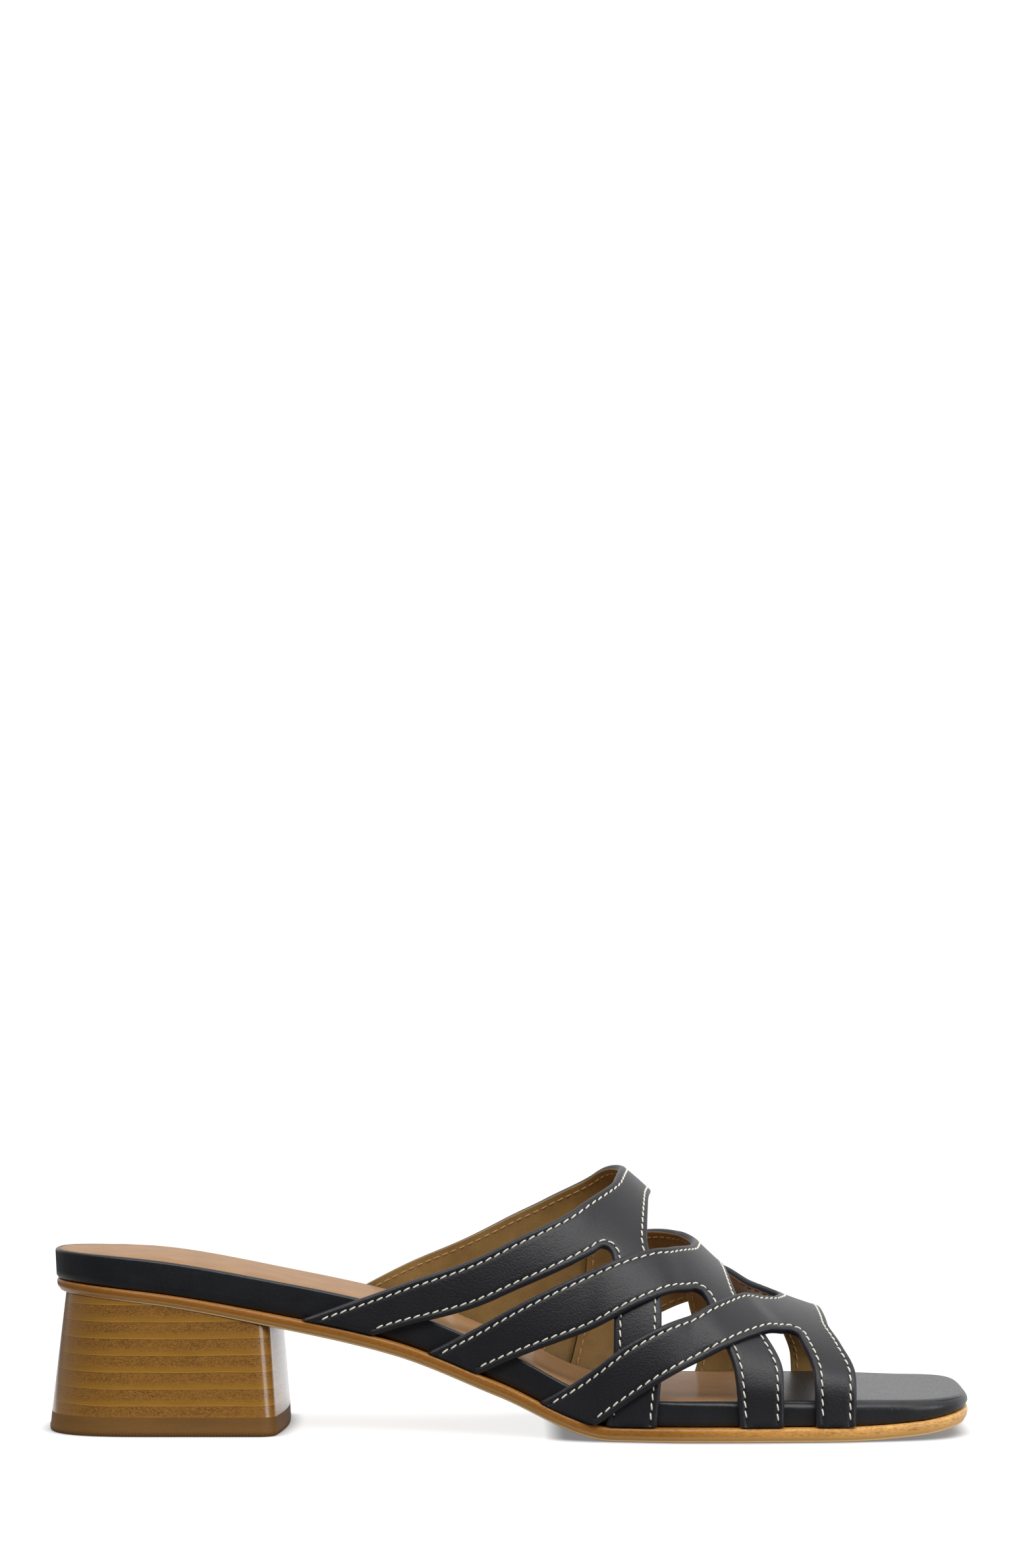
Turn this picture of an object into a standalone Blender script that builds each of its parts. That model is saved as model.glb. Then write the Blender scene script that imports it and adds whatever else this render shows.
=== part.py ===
"""Low heel slide sandal: three interlaced leather crosses over a wrapped footbed, a leather
outsole and a stacked block heel. Right shoe, toe towards +X, outer side towards -Y.
Sizes are in millimetres and become metres when a mesh is made."""

import math

import bpy
import numpy as np
from mathutils import Vector
from mathutils.geometry import delaunay_2d_cdt

for old_object in list(bpy.data.objects):
    bpy.data.objects.remove(old_object, do_unlink=True)

MM = 0.001

# Outline of the sole from above
TOE_X = 123.05
BED_HEEL_X = -122.7
OUTSOLE_HEEL_X = -122.2
HEEL_ROUND = 30.0
HEEL_SQUARENESS = 2.3
TOE_ROUND = 33.0
TOE_SQUARENESS = 4.3
TOE_SWING = 0.05
TOE_SWING_START = 80.0
SEAM_GAP = 0.3

# Lower face of the outsole, its thickness, and the wrapped footbed's thickness and edge radius
SOLE_PROFILE = [
    {"x": -123.6, "bottom": 37.4, "sole": 3.1, "bed": 7.7, "edge": 0.8},
    {"x": -95.0, "bottom": 34.5, "sole": 3.2, "bed": 8.4, "edge": 0.8},
    {"x": -62.0, "bottom": 28.5, "sole": 3.5, "bed": 8.5, "edge": 0.8},
    {"x": -30.0, "bottom": 21.2, "sole": 3.7, "bed": 8.6, "edge": 0.8},
    {"x": -3.0, "bottom": 10.9, "sole": 3.8, "bed": 8.6, "edge": 0.8},
    {"x": 27.0, "bottom": 0.0, "sole": 3.8, "bed": 7.0, "edge": 0.9},
    {"x": 48.0, "bottom": 0.0, "sole": 3.8, "bed": 6.5, "edge": 1.3},
    {"x": 88.0, "bottom": 0.0, "sole": 3.8, "bed": 6.6, "edge": 2.6},
    {"x": 107.0, "bottom": 1.1, "sole": 3.7, "bed": 5.3, "edge": 2.6},
    {"x": 123.6, "bottom": 3.9, "sole": 3.6, "bed": 3.1, "edge": 2.1},
]

# Half widths of the footbed either side of the middle, and how far the outsole stands out past it
PLAN = [
    {"x": -123.6, "outer": 26.4, "inner": 26.4, "margin": 0.5},
    {"x": -95.0, "outer": 26.5, "inner": 26.5, "margin": 0.5},
    {"x": -58.0, "outer": 26.0, "inner": 25.0, "margin": 1.6},
    {"x": -18.0, "outer": 28.5, "inner": 24.5, "margin": 2.2},
    {"x": 20.0, "outer": 36.5, "inner": 33.0, "margin": 2.2},
    {"x": 48.0, "outer": 40.7, "inner": 41.2, "margin": 2.2},
    {"x": 80.0, "outer": 39.5, "inner": 41.3, "margin": 2.2},
    {"x": 104.0, "outer": 36.5, "inner": 38.2, "margin": 1.2},
    {"x": 123.6, "outer": 33.5, "inner": 35.0, "margin": 0.6},
]

# Edge of the outsole from the floor up: how far it is drawn in, and its share of the thickness
SOLE_EDGE = [
    {"inset": 2.0, "rise": 0.0},
    {"inset": 0.7, "rise": 0.14},
    {"inset": 0.15, "rise": 0.4},
    {"inset": 0.0, "rise": 0.8},
    {"inset": 0.5, "rise": 1.0},
]

# Wall of the footbed, which leans out a little from its foot up to the rounded edge
BED_FOOT_INSET = 0.7
BED_LEAN_INSET = 0.3
BED_LEAN_HEIGHT = 0.6
BED_EDGE_TURN = 0.3

# Sock let into the footbed
SOCK_THICK = 1.0
SOCK_INSET = 0.3
SOCK_FRONT_X = 65.0
SOCK_FRONT_BOW = 5.0
SOCK_EDGE = [
    {"inset": 0.0, "rise": 0.0},
    {"inset": 0.0, "rise": 0.7},
    {"inset": 0.3, "rise": 1.0},
]

# Plan of the block heel at its levels, top piece first
HEEL_LEVELS = [
    {"level": "floor", "back": -123.6, "breast": -61.2, "half": 28.6},
    {"level": "joint", "back": -123.1, "breast": -61.4, "half": 28.3},
    {"level": "seat", "back": -119.4, "breast": -63.3, "half": 26.0},
]
HEEL_BACK_ROUND = 30.0
HEEL_BACK_SQUARENESS = 2.9
HEEL_CORNER = 4.5
BREAST_BOW = 1.6
TOP_PIECE_THICK = 4.8
TOP_PIECE_BEVEL = 0.45

# Ridge of the last: its height, and how far it lies towards the inner side
INSTEP = [
    {"x": -60.0, "height": 100.0, "lean": 0.0},
    {"x": 0.0, "height": 88.0, "lean": 3.0},
    {"x": 31.0, "height": 67.3, "lean": 6.0},
    {"x": 38.0, "height": 61.0, "lean": 6.0},
    {"x": 50.5, "height": 47.6, "lean": 6.5},
    {"x": 58.0, "height": 41.0, "lean": 7.0},
    {"x": 71.0, "height": 34.3, "lean": 7.0},
    {"x": 84.0, "height": 29.6, "lean": 7.0},
    {"x": 100.0, "height": 25.0, "lean": 6.0},
]
LAST_SQUARENESS = 2.15

# Edges of each leather cross, as x at shares of the way from the ridge down to the sole.
# On the inner side the front leg is shifted and the rear leg bows back, most at half way
# or, where it is skewed, further down; its foot may lie further forward.
EDGE_SHARES = (0.0, 0.2, 0.4, 0.6, 0.8, 1.0)
CROSSES = {
    "back": {
        "rear": (29.4, 27.6, 17.5, -1.5, -26.5, -54.6),
        "slot_rear": (72.0, 52.0, 33.0, 14.0, -7.8, -35.5),
        "slot_front": (25.0, 25.6, 26.2, 27.3, 27.2, 25.2),
        "front": (37.4, 36.2, 35.7, 39.4, 39.5, 38.3),
        "inner_shift": -9.8,
        "inner_bow": -8.5,
        "inner_skew": 1.1,
        "inner_foot": 3.5,
        "inner_front_foot": 0.0,
    },
    "middle": {
        "rear": (49.2, 48.0, 40.7, 18.0, -2.0, -21.5),
        "slot_rear": (100.0, 80.0, 59.5, 38.8, 13.9, -7.8),
        "slot_front": (40.0, 44.2, 48.5, 52.8, 58.2, 59.5),
        "front": (57.3, 57.9, 59.3, 65.8, 70.9, 71.0),
        "inner_shift": -2.2,
        "inner_bow": -10.5,
        "inner_skew": 1.6,
        "inner_foot": 0.0,
        "inner_front_foot": -6.6,
    },
    "front": {
        "rear": (72.8, 70.5, 61.3, 48.8, 26.7, 8.0),
        "slot_rear": (128.0, 108.0, 88.5, 69.3, 46.4, 23.0),
        "slot_front": (69.0, 71.0, 73.2, 75.8, 78.9, 79.2),
        "front": (84.4, 84.2, 84.2, 86.7, 89.8, 89.6),
        "inner_shift": 0.9,
        "inner_bow": -19.5,
        "inner_skew": 1.15,
        "inner_foot": -3.5,
        "inner_front_foot": 0.0,
    },
}
NOMINAL_GIRTH = 75.0
INNER_FOOT_POWER = 4
SLOT_TIP_WIDTH = 3.4
SLOT_TIP_RISE = 1.3
STRAP_THICK = 2.0
STRAP_SINK = 0.4
FRONT_LEG_RAMP = 9.0
REAR_LEG_RAMP = 4.0

# Fineness of the meshes
EDGE_STEP = 3.2
STRAP_GRID = (3.8, 3.8)
CAP_GRID = (7.0, 17.0)
GRID_CLEARANCE = 0.55
OUTLINE_POINTS = {"heel": 9, "side": 25, "toe": 10}
HEEL_POINTS = {"breast": 4, "corner": 5, "side": 3, "back": 11}
HEEL_RINGS = 5
SOCK_FRONT_POINTS = 12
SECTION_POINTS = {"wall": 6, "arch": 44}
FOOT_POINTS = {"rear": 4, "front": 3}
SLOT_TIP_POINTS = 5
SLOT_SEARCH_POINTS = 501
SHARE_STEP = 0.01
WELD_DISTANCE = 1e-6
FILL_INSIDE = 1
SHARP_ANGLE = math.radians(40)

MATERIALS = {
    "outsole_leather": {"color": (0.36, 0.17, 0.05), "roughness": 0.45},
    "stacked_heel": {"color": (0.27, 0.12, 0.02), "roughness": 0.3},
    "heel_rubber": {"color": (0.15, 0.07, 0.02), "roughness": 0.6},
    "footbed_leather": {"color": (0.016, 0.017, 0.021), "roughness": 0.45},
    "sock_leather": {"color": (0.55, 0.36, 0.23), "roughness": 0.4},
    "upper_leather": {"color": (0.018, 0.019, 0.024), "roughness": 0.45},
}

PARTS = bpy.data.collections.new("low_heel_sandal")
CUTTERS = bpy.data.collections.new("cutters")
for collection in (PARTS, CUTTERS):
    bpy.context.scene.collection.children.link(collection)


def make_material(name):
    """Plain surface with the piece's colour from the photo."""
    material = bpy.data.materials.new(name)
    material.use_nodes = True
    shader = material.node_tree.nodes["Principled BSDF"]
    shader.inputs["Base Color"].default_value = (*MATERIALS[name]["color"], 1.0)
    shader.inputs["Roughness"].default_value = MATERIALS[name]["roughness"]
    shader.inputs["Metallic"].default_value = 0.0
    return material


def curve_through(places, values, level_start=False):
    """Smooth curve through the given values that never overshoots them."""
    places = np.array(places, float)
    values = np.array(values, float)
    widths = np.diff(places)
    slopes = np.diff(values) / widths
    tangents = np.zeros_like(values)
    tangents[0] = 0 if level_start else slopes[0]
    tangents[-1] = slopes[-1]
    for i in range(1, len(values) - 1):
        if slopes[i - 1] * slopes[i] > 0:
            before = 2 * widths[i] + widths[i - 1]
            after = widths[i] + 2 * widths[i - 1]
            tangents[i] = (before + after) / (before / slopes[i - 1] + after / slopes[i])

    def value_at(place):
        place = np.clip(place, places[0], places[-1])
        k = np.clip(np.searchsorted(places, place, side="right") - 1, 0, len(widths) - 1)
        t = (place - places[k]) / widths[k]
        rise = 3 * t**2 - 2 * t**3
        bend_out = widths[k] * tangents[k] * (t**3 - 2 * t**2 + t)
        bend_in = widths[k] * tangents[k + 1] * (t**3 - t**2)
        return values[k] * (1 - rise) + values[k + 1] * rise + bend_out + bend_in

    return value_at


def column(rows, name):
    """Smooth curve through one column of a table, along x."""
    return curve_through([row["x"] for row in rows], [row[name] for row in rows])


sole_bottom = column(SOLE_PROFILE, "bottom")
sole_thick = column(SOLE_PROFILE, "sole")
bed_thick = column(SOLE_PROFILE, "bed")
bed_edge = column(SOLE_PROFILE, "edge")
half_width = {-1: column(PLAN, "outer"), 1: column(PLAN, "inner")}
sole_margin = column(PLAN, "margin")
ridge_height = column(INSTEP, "height")
ridge_lean = column(INSTEP, "lean")


def sole_top(x):
    return sole_bottom(x) + sole_thick(x)


def bed_bottom(x):
    """Height of the footbed's underside, just clear of the outsole."""
    return sole_top(x) + SEAM_GAP


def bed_top(x):
    return bed_bottom(x) + bed_thick(x)


def sock_bottom(x):
    return bed_top(x) - SOCK_THICK


def plan_outline(heel_x, margin_share):
    """Outline of the shoe seen from above, outer side from heel to toe and inner side back."""
    heel_turn = np.linspace(0, math.pi / 2, OUTLINE_POINTS["heel"], endpoint=False)
    toe_turn = np.linspace(math.pi / 2, 0, OUTLINE_POINTS["toe"])
    heel_end = heel_x + HEEL_ROUND
    toe_start = TOE_X - TOE_ROUND
    side_x = np.linspace(heel_end, toe_start, OUTLINE_POINTS["side"], endpoint=False)
    x = np.concatenate([
        heel_end - HEEL_ROUND * np.cos(heel_turn) ** (2 / HEEL_SQUARENESS),
        side_x,
        toe_start + TOE_ROUND * np.cos(toe_turn) ** (2 / TOE_SQUARENESS),
    ])
    narrowing = np.concatenate([
        np.sin(heel_turn) ** (2 / HEEL_SQUARENESS),
        np.ones(len(side_x)),
        np.sin(toe_turn) ** (2 / TOE_SQUARENESS),
    ])
    sides = {}
    for side in (-1, 1):
        y = side * (half_width[side](x) + margin_share * sole_margin(x)) * narrowing
        blend = np.clip((x - TOE_SWING_START) / (TOE_X - TOE_SWING_START), 0, 1)
        sides[side] = np.stack([x + TOE_SWING * y * blend, y], axis=1)
    return np.concatenate([sides[-1], sides[1][-2:0:-1]])


def inset(outline, distance):
    """Move each point of a closed outline inwards, square to the outline."""
    along = np.roll(outline, -1, axis=0) - np.roll(outline, 1, axis=0)
    along /= np.linalg.norm(along, axis=1, keepdims=True)
    inward = np.stack([-along[:, 1], along[:, 0]], axis=1)
    return outline + inward * np.reshape(distance, (-1, 1))


def distance_to_outline(points, outline):
    """Distance of each point from a closed outline, less than zero outside it."""
    start = outline
    end = np.roll(outline, -1, axis=0)
    run = end - start
    offset = points[:, None, :] - start[None, :, :]
    share = np.clip((offset * run).sum(2) / (run * run).sum(1), 0, 1)
    nearest = np.linalg.norm(offset - share[..., None] * run, axis=2).min(1)
    crosses = (start[:, 1] > points[:, None, 1]) != (end[:, 1] > points[:, None, 1])
    climb = np.where(run[:, 1] == 0, 1.0, run[:, 1])
    crossing_x = start[:, 0] + (points[:, None, 1] - start[:, 1]) * run[:, 0] / climb
    inside = (crosses & (points[:, None, 0] < crossing_x)).sum(1) % 2 == 1
    return np.where(inside, nearest, -nearest)


def fill_outline(outline, grid):
    """Triangles over a closed outline, with extra points on a grid inside it."""
    low, high = outline.min(0), outline.max(0)
    counts = [max(2, int(round(size / step)) + 1) for size, step in zip(high - low, grid)]
    mesh_x, mesh_y = np.meshgrid(*[np.linspace(low[i], high[i], counts[i]) for i in (0, 1)])
    inner = np.stack([mesh_x.ravel(), mesh_y.ravel()], axis=1)
    inner = inner[distance_to_outline(inner, outline) > GRID_CLEARANCE * grid[0]]
    points = np.concatenate([outline, inner])
    count = len(outline)
    borders = [(i, (i + 1) % count) for i in range(count)]
    corners = [Vector(point) for point in points]
    filled = delaunay_2d_cdt(corners, borders, [], FILL_INSIDE, WELD_DISTANCE)
    sources = [source[0] for source in filled[3]]
    return points, [tuple(sources[i] for i in face) for face in filled[2]]


def add_object(name, points, faces, material, collection):
    """Object made from points in millimetres."""
    mesh = bpy.data.meshes.new(name)
    mesh.from_pydata([tuple(point * MM) for point in points], [], faces)
    mesh.materials.append(material)
    mesh.shade_smooth()
    mesh.set_sharp_from_angle(angle=SHARP_ANGLE)
    piece = bpy.data.objects.new(name, mesh)
    collection.objects.link(piece)
    return piece


def loft(name, rings, bottom_at, top_at, material, collection):
    """Closed solid through rings of points from the bottom up, filled over at both ends."""
    count = len(rings[0])
    points = [np.array(rings).reshape(-1, 3)]
    faces = []
    for k in range(len(rings) - 1):
        for i in range(count):
            j = (i + 1) % count
            low, high = k * count, (k + 1) * count
            faces.append((low + i, low + j, high + j, high + i))
    total = len(points[0])
    for first, height_at, flipped in ((0, bottom_at, True), (total - count, top_at, False)):
        outline = points[0][first:first + count, :2]
        flat, triangles = fill_outline(outline, CAP_GRID)
        inner = flat[count:]
        base = sum(len(block) for block in points) - count
        points.append(np.column_stack([inner, height_at(inner[:, 0])]).reshape(-1, 3))
        for triangle in triangles:
            face = [first + i if i < count else base + i for i in triangle]
            faces.append(tuple(reversed(face)) if flipped else tuple(face))
    return add_object(name, np.concatenate(points), faces, material, collection)


def cut_with(piece, other, operation):
    """Join or cut a piece with another mesh, which is itself left out of the model."""
    other.hide_render = True
    other.display_type = "WIRE"
    boolean = piece.modifiers.new(other.name, "BOOLEAN")
    boolean.operation = operation
    boolean.solver = "EXACT"
    boolean.object = other


def ring_at(outline, distance, height_at):
    """Outline moved inwards and laid on a height that depends on x."""
    moved = inset(outline, distance)
    return np.column_stack([moved, height_at(moved[:, 0])])


def edge_ring(outline, row, bottom_at, thick_at):
    """One ring of a piece's edge, from a row of inset and share of the thickness."""
    return ring_at(outline, row["inset"], lambda x: bottom_at(x) + row["rise"] * thick_at(x))


def build_outsole(material):
    """Leather outsole with a rounded lower edge and a small lip above it."""
    outline = plan_outline(OUTSOLE_HEEL_X, 1.0)
    rings = [edge_ring(outline, row, sole_bottom, sole_thick) for row in SOLE_EDGE]
    loft("outsole", rings, sole_bottom, sole_top, material, PARTS)


def build_footbed(material):
    """Board wrapped in black leather, with a rounded edge and a bed for the sock."""
    outline = plan_outline(BED_HEEL_X, 0.0)
    radius = bed_edge(outline[:, 0])
    rings = [
        ring_at(outline, BED_FOOT_INSET, bed_bottom),
        ring_at(outline, BED_LEAN_INSET, lambda x: bed_bottom(x) + BED_LEAN_HEIGHT),
        ring_at(outline, 0.0, lambda x: bed_top(x) - bed_edge(x)),
        ring_at(outline, BED_EDGE_TURN * radius, lambda x: bed_top(x) - BED_EDGE_TURN * bed_edge(x)),
        ring_at(outline, radius, bed_top),
    ]
    footbed = loft("footbed", rings, bed_bottom, bed_top, material, PARTS)

    def cutter_bottom(x):
        return sock_bottom(x) - SEAM_GAP

    def cutter_top(x):
        return bed_top(x) + SOCK_THICK

    cutter_rings = [
        ring_at(sock_outline(), -SEAM_GAP, cutter_bottom),
        ring_at(sock_outline(), -SEAM_GAP, cutter_top),
    ]
    cutter = loft("sock_bed", cutter_rings, cutter_bottom, cutter_top, material, CUTTERS)
    cut_with(footbed, cutter, "DIFFERENCE")


def sock_outline():
    """Plan of the sock: the footbed's outline drawn in, with a bowed front edge under the straps."""
    outline = plan_outline(BED_HEEL_X, 0.0)
    outline = inset(outline, bed_edge(outline[:, 0]) + SOCK_INSET)
    tip = sum(OUTLINE_POINTS.values())
    behind = outline[:, 0] < SOCK_FRONT_X
    outer = outline[:tip][behind[:tip]]
    inner = outline[tip:][behind[tip:]]
    across = np.linspace(outer[-1, 1], inner[0, 1], SOCK_FRONT_POINTS)
    middle = 0.5 * (across[0] + across[-1])
    bow = 1 - ((across - middle) / (across[-1] - middle)) ** 2
    front = np.stack([SOCK_FRONT_X + SOCK_FRONT_BOW * bow, across], axis=1)
    return np.concatenate([outer, front, inner])


def build_sock(material):
    """Thin leather sock let into the footbed, flush with the wrapped edge around it."""
    outline = sock_outline()
    rings = [edge_ring(outline, row, sock_bottom, lambda x: SOCK_THICK) for row in SOCK_EDGE]
    loft("sock_lining", rings, sock_bottom, bed_top, material, PARTS)


def heel_outline(level):
    """Plan of the heel: slightly bowed breast with small corners, sides and a squarish round back."""
    half = level["half"]
    corner = np.linspace(0, math.pi / 2, HEEL_POINTS["corner"])
    back_turn = np.linspace(math.pi / 2, 0, HEEL_POINTS["back"])
    breast_y = np.linspace(0, half - HEEL_CORNER, HEEL_POINTS["breast"], endpoint=False)
    corner_x = level["breast"] - HEEL_CORNER * (1 - np.cos(corner))
    corner_y = half - HEEL_CORNER + HEEL_CORNER * np.sin(corner)
    back_end = level["back"] + HEEL_BACK_ROUND
    side_x = np.linspace(level["breast"] - HEEL_CORNER, back_end, HEEL_POINTS["side"] + 2)[1:-1]
    back_x = back_end - HEEL_BACK_ROUND * np.cos(back_turn) ** (2 / HEEL_BACK_SQUARENESS)
    back_y = half * np.sin(back_turn) ** (2 / HEEL_BACK_SQUARENESS)
    breast_x = level["breast"] + BREAST_BOW * (1 - (breast_y / (half - HEEL_CORNER)) ** 2)
    x = np.concatenate([breast_x, corner_x, side_x, back_x])
    y = np.concatenate([breast_y, corner_y, np.full(len(side_x), half), back_y])
    inner = np.stack([x, y], axis=1)
    outer = np.stack([x, -y], axis=1)[-2:0:-1]
    return np.concatenate([inner, outer])


def build_heel(block_material, top_piece_material):
    """Flared block under the heel seat, with its rubber top piece on the floor."""
    floor, joint, seat = [heel_outline(level) for level in HEEL_LEVELS]
    low = TOP_PIECE_THICK + SEAM_GAP

    def level_at(height):
        return lambda x: np.full(np.shape(x), height)

    rings = [
        ring_at(floor, TOP_PIECE_BEVEL, level_at(0.0)),
        ring_at(floor, 0.0, level_at(TOP_PIECE_BEVEL)),
        ring_at(joint, 0.0, level_at(TOP_PIECE_THICK)),
    ]
    loft("heel_top_piece", rings, level_at(0.0), level_at(TOP_PIECE_THICK), top_piece_material, PARTS)

    def seat_at(x):
        return sole_bottom(x) - SEAM_GAP

    rings = []
    for share in np.linspace(0, 1, HEEL_RINGS):
        outline = joint + (seat - joint) * share
        rings.append(np.column_stack([outline, low + (seat_at(outline[:, 0]) - low) * share]))
    loft("heel_block", rings, level_at(low), seat_at, block_material, PARTS)


def last_section(x, side):
    """Half section of the last from the sole's edge to the ridge: share left, y and z."""
    base = bed_bottom(x)
    bed = bed_thick(x)
    lean = ridge_lean(x)
    reach = half_width[side](x) + SEAM_GAP
    wall = np.linspace(0, 1, SECTION_POINTS["wall"], endpoint=False)
    turn = np.linspace(0, math.pi / 2, SECTION_POINTS["arch"])
    arch_y = lean + side * (reach - side * lean) * np.cos(turn) ** (2 / LAST_SQUARENESS)
    arch_z = base + bed + (ridge_height(x) - base - bed) * np.sin(turn) ** (2 / LAST_SQUARENESS)
    y = np.concatenate([np.full(len(wall), side * reach), arch_y])
    z = np.concatenate([base + bed * wall, arch_z])
    run = np.concatenate([[0], np.cumsum(np.hypot(np.diff(y), np.diff(z)))])
    return 1 - run / run[-1], y, z


def on_last(x, share):
    """Point of the last at x, with share -1 at the outer sole edge, 0 on the ridge, 1 at the inner."""
    left, y, z = last_section(x, -1 if share < 0 else 1)
    place = abs(share)
    return np.array([x, np.interp(place, left[::-1], y[::-1]), np.interp(place, left[::-1], z[::-1])])


def last_normal(x, share):
    """Direction square to the last, pointing away from the foot."""
    along = on_last(x + 1, share) - on_last(x - 1, share)
    around = on_last(x, min(share + SHARE_STEP, 1)) - on_last(x, max(share - SHARE_STEP, -1))
    normal = np.cross(along, around)
    return normal / np.linalg.norm(normal)


def leg_edges(cross, side):
    """Edges of a cross on one side, as curves of x along the share of the girth."""
    shares = np.array(EDGE_SHARES)
    shift = cross["inner_shift"] * shares + cross["inner_front_foot"] * shares**INNER_FOOT_POWER
    bow = cross["inner_bow"] * np.sin(math.pi * shares ** cross["inner_skew"])
    bow += cross["inner_foot"] * shares**INNER_FOOT_POWER
    change = {"rear": bow, "slot_rear": bow, "slot_front": shift, "front": shift}
    edges = {}
    for edge, inner_change in change.items():
        places = np.array(cross[edge]) + (inner_change if side > 0 else 0)
        edges[edge] = curve_through(shares, places, level_start=True)
    search = np.linspace(0, 1, SLOT_SEARCH_POINTS)
    wide = edges["slot_front"](search) - edges["slot_rear"](search) > SLOT_TIP_WIDTH
    edges["slot_share"] = search[np.argmax(wide)]
    return edges


def edge_points(edge_at, shares, side):
    """Pattern points of one edge at the given shares of the girth."""
    return np.stack([edge_at(shares), side * shares * NOMINAL_GIRTH], axis=1)


def foot_points(start, end, count, side):
    """Pattern points along the foot of a leg, between its two edges."""
    x = np.linspace(start, end, count + 2)[1:-1]
    return np.stack([x, np.full(count, side * NOMINAL_GIRTH)], axis=1)


def slot_tip(edges, side):
    """Rounded end of the slot between a rear leg and a front leg."""
    turn = np.linspace(0, math.pi, SLOT_TIP_POINTS + 2)[1:-1]
    start = edges["slot_rear"](edges["slot_share"])
    x = start + 0.5 * SLOT_TIP_WIDTH * (1 - np.cos(turn))
    girth = edges["slot_share"] * NOMINAL_GIRTH - SLOT_TIP_RISE * np.sin(turn)
    return np.stack([x, side * girth], axis=1)


def cross_outline(edges_by_side):
    """Cut outline of one leather cross, in x and girth, with its four legs and two slots."""
    leg_count = int(NOMINAL_GIRTH / EDGE_STEP)
    shares = np.linspace(0, 1, leg_count)
    halves = {}
    for side, edges in edges_by_side.items():
        slot_shares = np.linspace(edges["slot_share"], 1, leg_count // 2)
        halves[side] = np.concatenate([
            edge_points(edges["rear"], shares, side),
            foot_points(edges["rear"](1), edges["slot_rear"](1), FOOT_POINTS["rear"], side),
            edge_points(edges["slot_rear"], slot_shares[::-1], side),
            slot_tip(edges, side),
            edge_points(edges["slot_front"], slot_shares, side),
            foot_points(edges["slot_front"](1), edges["front"](1), FOOT_POINTS["front"], side),
            edge_points(edges["front"], shares[::-1], side),
        ])
    return np.concatenate([halves[-1], halves[1][-2:0:-1]])


def lift_over(x, share, laid):
    """How far a leg rides up where it passes over the crosses below it."""
    place = abs(share)
    lift = 0.0
    for edges_by_side in laid:
        edges = edges_by_side[-1 if share < 0 else 1]
        rear = edges["rear"](place)
        slot_rear = edges["slot_rear"](max(place, edges["slot_share"]))
        front_leg = rear if place < edges["slot_share"] else edges["slot_front"](place)
        spans = ((rear, slot_rear, REAR_LEG_RAMP), (front_leg, edges["front"](place), FRONT_LEG_RAMP))
        for low, high, ramp in spans:
            fall = min(max(low - x, x - high, 0.0) / ramp, 1.0)
            lift = max(lift, 1 - 3 * fall**2 + 2 * fall**3)
    return lift * (STRAP_THICK - STRAP_SINK)


def build_cross(name, edges_by_side, laid, material, collection):
    """Leather cross laid over the last and thickened outwards."""
    flat, triangles = fill_outline(cross_outline(edges_by_side), STRAP_GRID)
    points = []
    for x, girth in flat:
        share = girth / NOMINAL_GIRTH
        points.append(on_last(x, share) + lift_over(x, share, laid) * last_normal(x, share))
    piece = add_object(name, np.array(points), triangles, material, collection)
    wall = piece.modifiers.new("wall", "SOLIDIFY")
    wall.thickness = STRAP_THICK * MM
    wall.offset = 1.0
    wall.use_even_offset = True
    return piece


def build_upper(material):
    """Three crosses in one body: each later one lies over the legs of those behind it."""
    laid = []
    pieces = []
    for key, cross in CROSSES.items():
        edges_by_side = {side: leg_edges(cross, side) for side in (-1, 1)}
        name = "upper_" + key if pieces else "upper"
        collection = CUTTERS if pieces else PARTS
        pieces.append(build_cross(name, edges_by_side, laid, material, collection))
        laid.append(edges_by_side)
    for other in pieces[1:]:
        cut_with(pieces[0], other, "UNION")


build_outsole(make_material("outsole_leather"))
build_heel(make_material("stacked_heel"), make_material("heel_rubber"))
build_footbed(make_material("footbed_leather"))
build_sock(make_material("sock_leather"))
build_upper(make_material("upper_leather"))
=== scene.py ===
import math

import bpy
import numpy as np
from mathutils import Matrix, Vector
from mathutils.geometry import delaunay_2d_cdt
from mathutils.kdtree import KDTree


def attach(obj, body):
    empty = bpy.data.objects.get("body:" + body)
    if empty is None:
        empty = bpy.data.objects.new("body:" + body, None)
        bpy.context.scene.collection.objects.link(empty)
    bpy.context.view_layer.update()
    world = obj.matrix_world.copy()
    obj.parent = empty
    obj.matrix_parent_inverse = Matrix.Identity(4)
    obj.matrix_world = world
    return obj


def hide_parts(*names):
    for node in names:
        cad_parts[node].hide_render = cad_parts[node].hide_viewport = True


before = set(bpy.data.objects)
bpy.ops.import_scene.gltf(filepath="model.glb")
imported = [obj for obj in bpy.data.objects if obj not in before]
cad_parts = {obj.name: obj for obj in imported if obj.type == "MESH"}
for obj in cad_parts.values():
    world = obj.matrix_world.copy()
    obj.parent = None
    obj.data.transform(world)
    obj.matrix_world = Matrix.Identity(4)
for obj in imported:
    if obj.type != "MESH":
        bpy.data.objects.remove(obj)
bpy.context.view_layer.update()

# Outsole
# One piece of tan sole leather nearly 4 mm thick, cut to the full outline with an arch and a toe
# spring. Its edge is rounded, stained and burnished, and it is cemented under the footbed.
MM = 0.001
SEAM_GAP = 0.3
TOE_X = 123.05
OUTSOLE_HEEL_X = -122.2
HEEL_ROUND = 30.0
HEEL_SQUARENESS = 2.3
TOE_ROUND = 33.0
TOE_SQUARENESS = 4.3
TOE_SWING = 0.05
TOE_SWING_START = 80.0
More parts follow.
